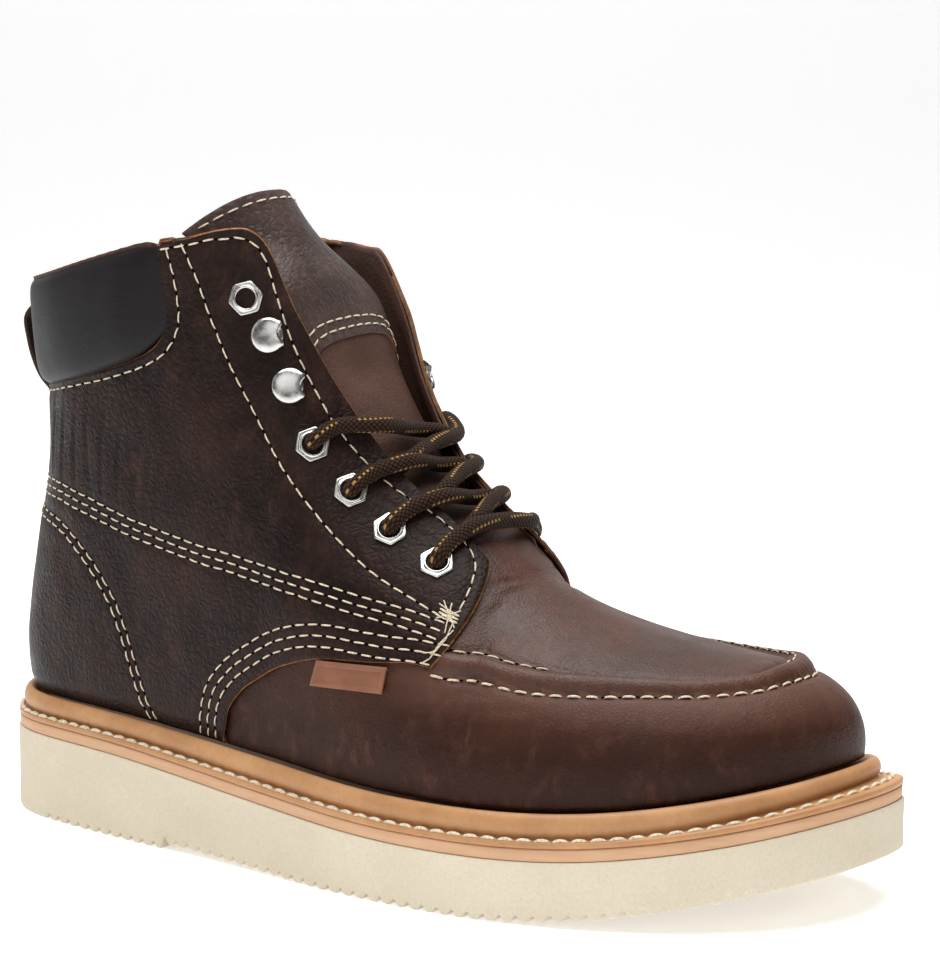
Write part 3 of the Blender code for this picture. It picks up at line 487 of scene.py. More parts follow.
# The tongue, from under the vamp to above the collar. Its top panel stands proud of the softer part below.
TONGUE_SHARES = (0.650, 0.63, 0.612, 0.60, 0.585, 0.565, 0.545, 0.52, 0.495, 0.47, 0.456, 0.44, 0.425)
PANEL_FROM = 0.456
TONGUE_TOP_COLUMNS = ("x", "mid", "half", "z", "sweep", "drop")
TONGUE_TOP = [
    (113.0, -7.0, 26.5, 184.5, 14.0, 4.0),
    (104.5, -11.5, 26.0, 199.8, 14.0, 12.0),
]
TONGUE_PULLS = [(0.42, 4.5), (0.44, 4.5), (0.456, 4.0), (0.47, 3.0), (0.495, 1.2), (0.53, 0.0), (0.65, 0.0)]
PANEL_TILT = 5.0
DENT_DEPTH = 2.2
DENT_AT = (-9.0, -0.12)
DENT_SIZE = (6.5, 0.20)
TONGUE_CLEAR = 2.6
TONGUE_THICK = 2.6
TONGUE_PANEL = 0.8
PANEL_LEATHER = 0.9
TONGUE_TUCK = 18.0
TONGUE_CROWN = 2.0
TONGUE_BRIDGE = (0.15, 0.85)
TONGUE_ACROSS = 45
TONGUE_ROWS = 110
OVER_THROAT = np.array((0.5, 0.0, 0.85))
FULL_CROWN_GAP = 36.0
LEAST_BRIDGE = 4.0
TOP_DROP_POWER = 2.5
TONGUE_EASE = 22

# The padded collar: its lower edge on the ribs and how full it is.
PAD_COLUMNS = ("share", "rise", "puff")
PAD = [
    (0.0, 0.797, 1.0),
    (0.14, 0.797, 1.0),
    (0.25, 0.800, 1.0),
    (0.275, 0.804, 0.92),
    (0.292, 0.813, 0.62),
    (0.303, 0.826, 0.34),
    (0.312, 0.842, 0.16),
    (0.321, 0.865, 0.08),
]
PAD_END = 0.321
PAD_OUT = 5.2
PAD_IN = 6.4
PAD_TOP = 2.6
PAD_FULL = 0.6
# The pad's outer and inner face, as shares of its height, of its rise over the edge and of its swell.
PAD_FACES = (0.2, -2.0)
PAD_CREST = -0.4
PAD_OUTSIDE = [
    (0.0, 0.0, 0.0),
    (0.06, 0.0, 0.62),
    (0.22, 0.0, 0.95),
    (0.5, 0.0, 1.02),
    (0.82, 0.0, 0.90),
    (1.0, 0.45, 0.55),
]
PAD_INSIDE = [
    (1.0, 0.45, 0.55),
    (0.8, 0.0, 0.95),
    (0.45, 0.0, 1.0),
    (0.15, 0.0, 0.75),
    (0.0, 0.0, 0.0),
]
BINDING_THICK = 1.1
BINDING_HIGH = 2.2
BINDING_SHOULDER = 0.6
BINDING_SUNK = 0.9
BINDING_FOOT = -0.8
BINDING_RAGGED = ((0.07, 900.0, 0.0), (0.05, 2310.0, 1.0))
BINDING_AT = 1.6
BINDING_END = 0.306
COLLAR_LINED = 0.47

# The pull loop behind the collar, as how far it stands off the heel's rib and its height.
LOOP_COLUMNS = ("off", "z")
LOOP_PATH = [
    (5.4, 156.6),
    (9.6, 160.0),
    (13.6, 157.0),
    (13.8, 150.5),
    (12.2, 144.0),
    (9.2, 138.5),
    (5.0, 134.5),
    (2.7, 131.0),
    (2.5, 126.5),
]
LOOP_THICK = 1.6
LOOP_WIDTH = 18.0

# The bare side tag under the quarter's lower edge.
TAG_CORNERS = [(0.472, 0.290), (0.543, 0.371), (0.539, 0.287), (0.461, 0.219)]
TAG_STAND = 0.4
TAG_THICK = 1.7
TAG_RIM = 1.3
TAG_ROUND = 0.4
TAG_SUNK = 0.5

# Eyelets and hooks along the throat, counted up from the toe.
FITTING_COLUMNS = ("name", "share", "rise", "turn")
FITTINGS = [
    ("eyelet_{}_1", 0.562, 0.780, 15.0),
    ("eyelet_{}_2", 0.531, 0.780, 15.0),
    ("eyelet_{}_3", 0.502, 0.786, 12.0),
    ("eyelet_{}_4", 0.468, 0.778, 18.0),
    ("hook_{}_1", 0.4415, 0.824, 62.0),
    ("hook_{}_2", 0.4192, 0.8445, 70.0),
    ("eyelet_{}_5", 0.393, 0.860, -20.0),
]
SIDE_LABELS = {-1: "lat", 1: "med"}
EYELET_ACROSS = 9.5
EYELET_BORE = 2.95
EYELET_RISE = 0.785
EYELET_AROUND = 48
EYELET_BLUNT = 1.13
EYELET_PLATE = [(1.0, -0.15), (1.0, 0.55), (0.975, 0.80), (0.93, 0.92), (0.86, 0.90)]
EYELET_BARREL = [
    (0.95, 0.82),
    (0.8, 1.0),
    (0.5, 1.15),
    (0.16, 1.0),
    (0.0, 0.6),
    (0.0, -3.2),
    (0.45, -3.2),
    (0.45, -0.15),
]
HOOK_RADIUS = 5.3
HOOK_HEIGHT = 3.8
HOOK_BITE = 0.50
HOOK_HORN = 0.13
HOOK_HEAD = 0.55
HOOK_AROUND = 36
HOOK_BITE_WIDTH = 0.42
HOOK_HORN_AT = 0.62
HOOK_HORN_WIDTH = 0.16
HOOK_PROFILE = [
    (0.02, 0.96),
    (0.30, 0.95),
    (0.58, 0.915),
    (0.80, 0.86),
    (0.94, 0.78),
    (1.0, 0.70),
    (0.97, 0.64),
    (0.86, 0.62),
    (0.50, 0.57),
    (0.36, 0.50),
    (0.36, 0.26),
    (0.50, 0.20),
    (0.72, 0.16),
    (0.75, 0.06),
    (0.70, -0.04),
    (0.02, -0.04),
]
FITTING_LIFT = 0.1

# Laces over the throat: each leaves its eyelet, crosses the flap's edge at one share and the far edge at
# another. Reach is how far it goes across (1 is the far edge, 2 the far eyelet), and its height over the
# throat is given at the middle and the end.
LACE_COLUMNS = ("side", "share", "edge", "far", "reach", "mid_lift", "end_lift")
LACES = [
    (-1, 0.562, 0.567, 0.570, 1.58, 5.0, 3.9),
    (1, 0.531, 0.551, 0.564, 0.84, 4.4, 1.7),
    (-1, 0.531, 0.546, 0.551, 0.76, 2.4, 1.5),
    (1, 0.502, 0.530, 0.543, 0.84, 4.4, 1.5),
    (-1, 0.502, 0.522, 0.530, 0.76, 2.4, 1.7),
    (1, 0.468, 0.511, 0.521, 0.84, 4.4, 1.5),
    (-1, 0.468, 0.501, 0.510, 0.76, 2.4, 1.7),
]
LACE_RADIUS = 2.4
LACE_LIFTS = {-1: 3.9, 1: 3.0}
LACE_START = 1.58
LACE_STEP = 0.8
LACE_AROUND = 16
LACE_RISES = (-4.0, 0.5, 3.3)
LACE_DIVE = [(1.03, -2.4), (1.22, -4.4)]


def records(table, names):
    """The rows of a table as values by column name."""
    return [dict(zip(names, row)) for row in table]


def column(table, names, name, at):
    """One column of a table, read smoothly at values of its first column."""
    rows = np.array(table, float)
    x = rows[:, 0]
    y = rows[:, names.index(name)]
    slope = np.gradient(y, x)
    at = np.clip(np.asarray(at, float), x[0], x[-1])
    i = np.clip(np.searchsorted(x, at) - 1, 0, len(x) - 2)
    span = x[i + 1] - x[i]
    u = (at - x[i]) / span
    start = (1 + 2 * u) * (1 - u) ** 2 * y[i] + u * (1 - u) ** 2 * span * slope[i]
    end = u * u * (3 - 2 * u) * y[i + 1] + u * u * (u - 1) * span * slope[i + 1]
    return start + end


def distances(points):
    """How far along its run each point lies."""
    return np.concatenate([[0.0], np.cumsum(np.linalg.norm(np.diff(points, axis=0), axis=1))])


def unit(vectors):
    """The same directions at length 1."""
    return vectors / np.maximum(np.linalg.norm(vectors, axis=-1, keepdims=True), TINY)


def ease(value):
    """A smooth step from 0 to 1 over the same range."""
    k = np.clip(value, 0.0, 1.0)
    return k * k * (3 - 2 * k)


def closed_curve(points, per_span=24):
    """A smooth closed curve through the points: a periodic cubic spline."""
    p = np.array(points, float)
    count = len(p)
    step = np.sqrt(np.linalg.norm(np.roll(p, -1, 0) - p, axis=1))
    system = np.zeros((count, count))
    right = np.zeros((count, 2))
    for i in range(count):
        before, after, nxt = step[i - 1], step[i], (i + 1) % count
        system[i, i - 1] += 1 / before
        system[i, i] += 2 / before + 2 / after
        system[i, nxt] += 1 / after
        right[i] = 3 * ((p[i] - p[i - 1]) / before**2 + (p[nxt] - p[i]) / after**2)
    tangent = np.linalg.solve(system, right)
    u = np.linspace(0, 1, per_span, endpoint=False)[:, None]
    spans = []
    for i in range(count):
        nxt = (i + 1) % count
        start = (1 + 2 * u) * (1 - u) ** 2 * p[i] + u * (1 - u) ** 2 * step[i] * tangent[i]
        end = u * u * (3 - 2 * u) * p[nxt] + u * u * (u - 1) * step[i] * tangent[nxt]
        spans.append(start + end)
    return np.vstack(spans)


def sole_halves():
    """The lateral (-1) and medial (+1) half of the sole's edge, from the heel to the toe."""
    rows = records(SOLE_EDGE, EDGE_COLUMNS)
    lateral = [(row["x"], row["lateral"]) for row in rows]
    medial = [(row["x"], row["medial"]) for row in reversed(rows)]
    loop = closed_curve([(0.0, 0.0)] + lateral + [(LENGTH, TIP_Y)] + medial)
    toe = int(np.argmax(loop[:, 0]))
    return {-1: loop[: toe + 1], 1: np.vstack([loop[:1], loop[: toe - 1 : -1]])}


HALVES = sole_halves()


def edge_point(side, share, inset):
    """Points on the sole's edge moved in by the inset, and the level direction out of the edge there."""
    half = HALVES[side]
    run = distances(half)
    run = run / run[-1]
    share = np.asarray(share, float)
    low = np.clip(share - NEAR, 0, 1)
    high = np.clip(share + NEAR, 0, 1)
    along_x = np.interp(high, run, half[:, 0]) - np.interp(low, run, half[:, 0])
    along_y = np.interp(high, run, half[:, 1]) - np.interp(low, run, half[:, 1])
    size = np.hypot(along_x, along_y)
    ends = (share <= 0) | (share >= 1)
    out_x = np.where(ends, np.where(share <= 0, -1.0, 1.0), -side * along_y / size)
    out_y = np.where(ends, 0.0, side * along_x / size)
    x = np.interp(share, run, half[:, 0]) - inset * out_x
    y = np.interp(share, run, half[:, 1]) - inset * out_y
    return np.stack([x, y], -1), np.stack([out_x, out_y], -1)


def upper_inset(share):
    """How far the upper's foot stands in from the sole's edge."""
    share = np.asarray(share, float)
    side = (SIDE_INSET - HEEL_INSET) * np.clip(share / HEEL_INSET_END, 0, 1)
    toe = (TOE_INSET - SIDE_INSET) * ease((share - TOE_INSET_START) / (1 - TOE_INSET_START))
    return HEEL_INSET + side + toe


def height(name, x):
    return column(SOLE_HEIGHTS, HEIGHT_COLUMNS, name, x)


def midsole_top(x):
    return height("wedge", x) + MIDSOLE_THICK


def paired(share, rise):
    """Shares and rises as arrays of one shape."""
    return np.broadcast_arrays(np.asarray(share, float), np.asarray(rise, float))


def rib_value(name, share):
    """A rib column; the heel's row is a mirror line, so that the collar runs level across it."""
    first = RIBS[1]
    mirrored = (-first[0],) + first[1:3] + (-first[3],) + first[4:]
    return column([mirrored] + RIBS, RIB_COLUMNS, name, share)


def rib_point(side, share, rise):
    """A point of the upper's outer face on one side (-1 lateral, +1 medial)."""
    share, rise = paired(share, rise)
    foot, out = edge_point(side, share, upper_inset(share))
    top_share = np.minimum(share, POLE)
    lower = rib_value("drop", top_share) if side > 0 else 0.0
    gap = np.where(share >= THROAT_END, 0.0, rib_value("gap", top_share))
    start = np.concatenate([foot, height("bead", foot[..., 0])[..., None]], -1)
    end_y = rib_value("mid", top_share) + side * gap
    end = np.stack([rib_value("x", top_share), end_y, rib_value("z", top_share) - lower], -1)

    def moved(point, level, lift):
        return point + np.concatenate([out * level[..., None], lift[..., None]], -1)

    low = moved(start, rib_value("low_out", share), rib_value("low_up", share))
    high = moved(end, rib_value("high_out", share), -rib_value("high_fall", share))
    u = rise[..., None]
    return (1 - u) ** 3 * start + 3 * u * (1 - u) ** 2 * low + 3 * u * u * (1 - u) * high + u**3 * end


def rib_normal(side, share, rise):
    """The outward direction of the upper's face."""
    share, rise = paired(share, rise)
    ahead = np.minimum(share + NEAR, 1.0)
    behind = np.maximum(share - NEAR, 0.0)
    up = np.minimum(rise + NEAR, 1.0)
    down = np.maximum(rise - NEAR, 0.0)
    along = rib_point(side, ahead, rise) - rib_point(side, behind, rise)
    climb = rib_point(side, share, up) - rib_point(side, share, down)
    return unit(-side * np.cross(along, climb))


def to_scene(points):
    """Boot millimetres to scene metres, with the boot's middle over the origin."""
    moved = np.asarray(points, float).reshape(-1, 3) - (CENTRE_X, CENTRE_Y, 0.0)
    return moved * MM


def smooth_run(points, count):
    """A smooth open run through a few points of any dimension."""
    points = np.asarray(points, float)
    at = distances(points)
    names = tuple(range(points.shape[1] + 1))
    table = np.column_stack([at, points])
    reads = np.linspace(0, at[-1], count)
    return np.stack([column(table, names, k, reads) for k in names[1:]], -1)


def read_along(run, at, reads):
    """A run's values read at distances along it."""
    return np.stack([np.interp(reads, at, line) for line in run.T], -1)


def resample(points, count):
    """Points evenly spaced along a run."""
    points = np.asarray(points, float)
    at = distances(points)
    reads = np.linspace(0, at[-1], count)
    return read_along(points, at, reads)


def run_length(points):
    return float(np.linalg.norm(np.diff(points, axis=0), axis=1).sum())


def bell(distance, width):
    """A soft hump or trough, 1 in its middle."""
    return np.exp(-((distance / width) ** 2))


def grid_faces(rows, columns, start=0, closed_rows=False, closed_columns=False):
    """Quads over a grid of points, listed row by row."""
    r = np.arange(rows if closed_rows else rows - 1)[:, None]
    c = np.arange(columns if closed_columns else columns - 1)[None, :]
    r2 = (r + 1) % rows
    c2 = (c + 1) % columns
    corners = [r * columns + c, r * columns + c2, r2 * columns + c2, r2 * columns + c]
    return start + np.stack(np.broadcast_arrays(*corners), -1).reshape(-1, 4)


def tube_faces(rows, columns, start=0):
    """Quads round a tube of rings, and a cap on both its ends."""
    faces = grid_faces(rows, columns, start, closed_columns=True).tolist()
    last = start + (rows - 1) * columns
    return faces + [list(range(start, start + columns)), list(range(last, last + columns))]


def link(obj):
    bpy.context.scene.collection.objects.link(obj)
    return obj


def mesh_piece(name, points, faces, finishes, values=None, outward=True):
    """A smooth object from points in boot millimetres, welded; values are named numbers for each point."""
    mesh = bpy.data.meshes.new(name)
    mesh.from_pydata(to_scene(points).tolist(), [], [list(face) for face in faces])
    for label, numbers in (values or {}).items():
        layer = mesh.attributes.new(label, "FLOAT", "POINT")
        layer.data.foreach_set("value", np.asarray(numbers, np.float32).ravel())
    work = bmesh.new()
    work.from_mesh(mesh)
    bmesh.ops.remove_doubles(work, verts=work.verts, dist=WELD)
    bmesh.ops.dissolve_degenerate(work, edges=work.edges, dist=WELD)
    if outward:
        bmesh.ops.recalc_face_normals(work, faces=work.faces)
    work.to_mesh(mesh)
    work.free()
    mesh.shade_smooth()
    for finish in finishes:
        mesh.materials.append(finish)
    return link(bpy.data.objects.new(name, mesh))


def finished(obj):
    """The object with its modifiers made part of its mesh."""
    bpy.context.view_layer.update()
    graph = bpy.context.evaluated_depsgraph_get()
    mesh = bpy.data.meshes.new_from_object(obj.evaluated_get(graph))
    obj.modifiers.clear()
    obj.data = mesh
    mesh.name = obj.name
    return obj


def add_modifier(obj, kind, **settings):
    modifier = obj.modifiers.new(kind.lower(), kind)
    for label, value in settings.items():
        setattr(modifier, label, value)
    return modifier


def thicken(obj, thick, bevel=0.0):
    """A sheet of leather given its thickness inward, with the second finish on its cut edge."""
    add_modifier(
        obj,
        "SOLIDIFY",
        thickness=thick * MM,
        offset=-1.0,
        use_even_offset=False,
        material_offset_rim=1 if len(obj.data.materials) > 1 else 0,
    )
    if bevel:
        add_modifier(obj, "BEVEL", width=bevel * MM, segments=2, limit_method="ANGLE", angle_limit=1.0)
    return finished(obj)


def loft(name, sections, finishes, closed=False, capped=False):
    """A closed form through closed sections of equal point count."""
    sections = np.asarray(sections, float)
    count, size = sections.shape[:2]
    if capped:
        faces = tube_faces(count, size)
    else:
        faces = grid_faces(count, size, closed_rows=closed, closed_columns=True).tolist()
    return mesh_piece(name, sections.reshape(-1, 3), faces, finishes)


def dress(obj, slot, *nodes):
    """The piece rides with the boot and stands for the named solids; the slot is not used."""
    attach(obj, "root")
    if nodes:
        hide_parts(*nodes)
    return obj


class Finish:
    """A node material; each method adds a node and gives back its output."""

    def __init__(self, name, **sockets):
        self.material = bpy.data.materials.new(name)
        self.material.use_nodes = True
        self.tree = self.material.node_tree
        self.shader = self.tree.nodes["Principled BSDF"]
        self.place = self.node("ShaderNodeTexCoord").outputs["Object"]
        for label, value in sockets.items():
            self.give(self.shader, label.replace("_", " "), value)

    def node(self, kind, inputs=None, **settings):
        made = self.tree.nodes.new(kind)
        for label, value in settings.items():
            setattr(made, label, value)
        for label, value in (inputs or {}).items():
            self.give(made, label, value)
        return made

    def give(self, node, label, value):
        socket = node.inputs[label]
        if isinstance(value, bpy.types.NodeSocket):
            self.tree.links.new(value, socket)
        elif isinstance(value, tuple) and socket.type == "RGBA":
            socket.default_value = (*value, 1.0)
        else:
            socket.default_value = value

    def stretched(self, scale, source=None):
        inputs = {"Vector": source or self.place, "Scale": scale}
        return self.node("ShaderNodeMapping", inputs).outputs["Vector"]

    def warped(self, scale, amount):
        """Places pushed about by a noise, so that a pattern on them isn't regular."""
        noise = self.node("ShaderNodeTexNoise", {"Vector": self.place, "Scale": scale, "Detail": 2.0})
        pushed = self.node("ShaderNodeVectorMath", {0: noise.outputs["Color"]}, operation="SCALE")
        self.give(pushed, "Scale", amount)
        inputs = {0: self.place, 1: pushed.outputs[0]}
        return self.node("ShaderNodeVectorMath", inputs, operation="ADD").outputs[0]

    def noise(self, scale, detail=4.0, rough=0.55, source=None, distortion=0.0):
        inputs = {
            "Vector": source or self.place,
            "Scale": scale,
            "Detail": detail,
            "Roughness": rough,
            "Distortion": distortion,
        }
        return self.node("ShaderNodeTexNoise", inputs).outputs["Fac"]

    def cells(self, scale, source=None, feature="SMOOTH_F1", smooth=0.35):
        inputs = {"Vector": source or self.place, "Scale": scale}
        if feature == "SMOOTH_F1":
            inputs["Smoothness"] = smooth
        return self.node("ShaderNodeTexVoronoi", inputs, feature=feature).outputs["Distance"]

    def reach(self, value, low, high, to_low=0.0, to_high=1.0):
        """A value's range stretched onto another range, and held there."""
        inputs = {"Value": value, "From Min": low, "From Max": high, "To Min": to_low, "To Max": to_high}
        return self.node("ShaderNodeMapRange", inputs).outputs["Result"]

    def maths(self, operation, first, second=0.0):
        return self.node("ShaderNodeMath", {0: first, 1: second}, operation=operation).outputs["Value"]

    def mixed(self, share, first, second, blend="MIX"):
        made = self.node("ShaderNodeMix", data_type="RGBA", blend_type=blend)
        self.give(made, 0, share)
        self.give(made, 6, first)
        self.give(made, 7, second)
        return made.outputs[2]

    def value(self, label):
        return self.node("ShaderNodeAttribute", attribute_name=label).outputs["Fac"]

    def colour(self, source):
        self.give(self.shader, "Base Color", source)

    def toned(self, source, dark, light):
        """A colour between two tones, as the source goes from dark to light."""
        return self.mixed(self.reach(source, 0.3, 0.7), dark, light)

    def rough(self, source, low, high):
        """Roughness between two values, as the source goes from dark to light."""
        self.give(self.shader, "Roughness", self.reach(source, 0.3, 0.7, low, high))

    def bump(self, height, depth, under=None):
        """Relief of a depth in millimetres, over what is already there."""
        inputs = {"Height": height, "Distance": depth * MM, "Strength": 1.0}
        if under:
            inputs["Normal"] = under
        normal = self.node("ShaderNodeBump", inputs).outputs["Normal"]
        self.give(self.shader, "Normal", normal)
        return normal


def burnish(made, base):
    """Painted shade low on the vamp's wall and back towards the quarters, and a painted highlight on the
    toe's shoulder.
    """
    split = made.node("ShaderNodeSeparateXYZ", {"Vector": made.place}).outputs
    low = made.reach(split["Z"], *WALL_SHADE_HEIGHT, WALL_SHADE_SHARE, 0.0)
    back = made.reach(split["X"], *WALL_SHADE_LENGTH, WALL_SHADE_SHARE, 0.0)
    base = made.mixed(made.maths("MAXIMUM", low, back), base, WALL_SHADE_TONE)
    high = made.reach(split["Z"], *SHOULDER_HIGHLIGHT_HEIGHT, 0.0, SHOULDER_HIGHLIGHT_SHARE)
    shoulder = made.maths("MULTIPLY", high, made.reach(split["X"], *SHOULDER_HIGHLIGHT_LENGTH))
    return made.mixed(shoulder, base, SHOULDER_HIGHLIGHT_TONE)


def boot_leather(leather, cell, grain, gloss, wrinkle, shine, lines):
    """Oiled leather: an uneven pebbled grain, upright wrinkles, rubbed patches, and tan where it is cut."""
    deep, mid, light = TONES[leather]
    made = Finish(leather + "_leather", Specular_IOR_Level=shine, Coat_Weight=0.02, Coat_Roughness=0.35)
    loose = made.warped(150.0, 0.0045)
    pebble = made.reach(made.cells(cell, loose, "DISTANCE_TO_EDGE"), 0.0, 0.30)
    upright = made.stretched((1.0, 1.0, 0.42), loose)
    folds = made.noise(270.0, 5.0, 0.62, upright, 0.25)
    pores = made.cells(1700.0)
    broad = made.noise(30.0, 4.0, 0.6)
    patches = made.noise(75.0, 5.0, 0.65)
    base = made.mixed(made.reach(broad, 0.34, 0.66), deep, mid)
    # The vamp alone gets painted shade low on its wall and a painted highlight on the toe's shoulder.
    if leather == "vamp":
        base = burnish(made, base)
    rubbed = made.maths("MULTIPLY", made.reach(patches, 0.46, 0.74), made.reach(folds, 0.42, 0.64))
    base = made.mixed(made.maths("MULTIPLY", rubbed, 0.65), base, light)
    # A painted highlight along the toe seam's ridge, from a value that only the vamp carries.
    base = made.mixed(made.maths("MULTIPLY", made.value("wear"), 0.45), base, light)
    base = made.mixed(made.reach(pebble, 0.0, 0.7, lines, 0.0), base, deep)
    specks = made.noise(330.0, 3.0)
    base = made.mixed(made.reach(specks, 0.60, 0.74, 0.0, 0.5), base, deep)
    fibre = made.toned(made.noise(700.0, 3.0), (0.13, 0.048, 0.014), (0.40, 0.185, 0.065))
    made.colour(made.mixed(made.reach(made.value("cut"), 0.25, 0.62), base, fibre))
    made.rough(patches, gloss - 0.06, gloss + 0.10)
    first = made.bump(folds, wrinkle)
    second = made.bump(pebble, grain, first)
    made.bump(made.reach(pores, 0.1, 0.5), 0.04, second)
    return made.material


def raw_edge():
    """The cut edge of the leather, tan with loose fibres."""
    made = Finish("raw_leather_edge", Roughness=0.85)
    fibres = made.noise(1800.0, 3.0)
    patches = made.noise(150.0, 4.0)
    fibre = made.toned(fibres, (0.15, 0.056, 0.017), (0.33, 0.148, 0.050))
    made.colour(made.mixed(made.reach(patches, 0.36, 0.62), fibre, (0.07, 0.026, 0.011)))
    made.bump(fibres, 0.12)
    return made.material


def soft_leather():
    """Milk-brown lining leather with a fine pebble and a dry, soft surface."""
    made = Finish("soft_lining_leather", Specular_IOR_Level=0.25)
    pebble = made.cells(1100.0)
    broad = made.noise(40.0, 5.0)
    base = made.toned(broad, (0.054, 0.0245, 0.0162), (0.100, 0.048, 0.0328))
    made.colour(made.mixed(made.reach(pebble, 0.3, 0.8, 0.0, 0.35), base, (0.040, 0.018, 0.012)))
    made.rough(broad, 0.52, 0.68)
    first = made.bump(made.noise(300.0, 4.0), 0.10)
    made.bump(made.reach(pebble, 0.0, 0.8, 1.0, 0.0), 0.10, first)
    return made.material


def collar_leather():
    """Charcoal garment leather over foam: smooth, with faint pores and stretch lines."""
    made = Finish("collar_leather", Specular_IOR_Level=0.17)
    pores = made.cells(1500.0)
    broad = made.noise(60.0, 5.0)
    base = made.toned(broad, (0.0088, 0.0072, 0.0078), (0.0130, 0.0110, 0.0116))
    made.colour(base)
    made.rough(broad, 0.40, 0.54)
    lines = made.noise(120.0, 5.0, 0.6, made.stretched((1.0, 1.0, 3.0)))
    first = made.bump(lines, 0.10)
    made.bump(made.reach(pores, 0.0, 0.7, 1.0, 0.0), 0.05, first)
    return made.material


def suede():
    """The napped strip along the collar's top edge."""
    sheen = {"Sheen_Weight": 0.08, "Sheen_Roughness": 0.6}
    made = Finish("collar_suede", Roughness=0.95, Specular_IOR_Level=0.1, **sheen)
    nap = made.noise(900.0, 4.0)
    made.colour(made.toned(nap, (0.030, 0.013, 0.008), (0.075, 0.034, 0.017)))
    made.bump(nap, 0.25)
    return made.material


def thread(name, deep, light):
    """Twisted sewing thread, lighter on its raised strands: painted shade between them."""
    made = Finish(name, Roughness=0.6, Sheen_Weight=0.2, Sheen_Roughness=0.4)
    strands = made.noise(1500.0, 2.0)
    made.colour(made.mixed(made.reach(strands, 0.25, 0.6), deep, light))
    made.bump(strands, 0.10)
    return made.material


def needle_shade():
    """Painted shadow for the inside of a needle hole: dull and dark."""
    made = Finish("needle_hole_shade", Roughness=1.0, Specular_IOR_Level=0.0)
    made.colour(made.mixed(made.noise(900.0, 2.0), (0.0040, 0.0020, 0.0015), (0.0090, 0.0046, 0.0036)))
    return made.material


def welt_leather():
    """Caramel leather of the welt, with long streaks and darker handling marks."""
    made = Finish("welt_leather", Coat_Weight=0.08, Coat_Roughness=0.3)
    fibres = made.noise(700.0, 4.0)
    broad = made.noise(45.0, 5.0, 0.65)
    base = made.mixed(made.reach(broad, 0.3, 0.72), (0.40, 0.185, 0.066), (0.56, 0.295, 0.125))
    made.colour(made.mixed(made.reach(fibres, 0.5, 0.8, 0.0, 0.22), base, (0.26, 0.11, 0.038)))
    made.rough(broad, 0.42, 0.58)
    first = made.bump(made.noise(120.0, 3.0), 0.12)
    made.bump(fibres, 0.08, first)
    return made.material


def midsole_leather():
    """Pink-tan stacked strip, streaked along its length."""
    made = Finish("midsole_leather", Specular_IOR_Level=0.3)
    streaks = made.noise(420.0, 5.0, 0.6, made.stretched((0.12, 0.12, 1.6)))
    broad = made.noise(60.0, 4.0)
    base = made.toned(streaks, (0.59, 0.350, 0.205), (0.68, 0.420, 0.255))
    made.colour(made.mixed(made.reach(broad, 0.45, 0.8, 0.0, 0.35), base, (0.54, 0.29, 0.15)))
    made.rough(streaks, 0.55, 0.75)
    made.bump(streaks, 0.06)
    return made.material


def sole_rubber():
    """Cream blown rubber with fine pores, a little darker at each pore's middle."""
    made = Finish("sole_rubber", Specular_IOR_Level=0.3)
    pores = made.cells(700.0)
    fine = made.noise(1100.0, 3.0)
    broad = made.noise(26.0, 5.0)
    base = made.toned(broad, (0.65, 0.57, 0.435), (0.72, 0.645, 0.515))
    base = made.mixed(made.reach(fine, 0.32, 0.68, 0.22, 0.0), base, (0.45, 0.385, 0.275))
    made.colour(made.mixed(made.reach(pores, 0.10, 0.22, 0.06, 0.0), base, (0.50, 0.43, 0.31)))
    made.rough(fine, 0.68, 0.85)
    first = made.bump(made.reach(pores, 0.0, 0.35), 0.10)
    made.bump(fine, 0.08, first)
    return made.material


def sock_leather():
    """The sock inside: tan leather board with a fibrous nap."""
    made = Finish("sock_leather", Sheen_Weight=0.2, Sheen_Roughness=0.6)
    fibres = made.noise(800.0, 4.0)
    broad = made.noise(30.0, 4.0)
    base = made.toned(broad, (0.19, 0.115, 0.07), (0.29, 0.19, 0.125))
    made.colour(made.mixed(made.reach(fibres, 0.5, 0.8, 0.0, 0.4), base, (0.12, 0.07, 0.04)))
    made.rough(fibres, 0.75, 0.9)
    made.bump(fibres, 0.12)
    return made.material


def nickel():
    """Bright nickel plate with faint polishing marks."""
    made = Finish("nickel_plate", Metallic=1.0)
    marks = made.noise(420.0, 4.0)
    made.colour(made.mixed(made.reach(marks, 0.35, 0.7), (0.50, 0.49, 0.47), (0.72, 0.71, 0.68)))
    made.rough(marks, 0.20, 0.36)
    made.bump(marks, 0.03)
    return made.material


def tag_rubber():
    """Chestnut moulded rubber of the bare side tag."""
    made = Finish("tag_moulding", Specular_IOR_Level=0.4)
    fine = made.noise(900.0, 3.0)
    broad = made.noise(90.0, 4.0)
    made.colour(made.toned(broad, (0.19, 0.070, 0.033), (0.26, 0.105, 0.053)))
    made.rough(fine, 0.48, 0.62)
    made.bump(fine, 0.06)
    return made.material


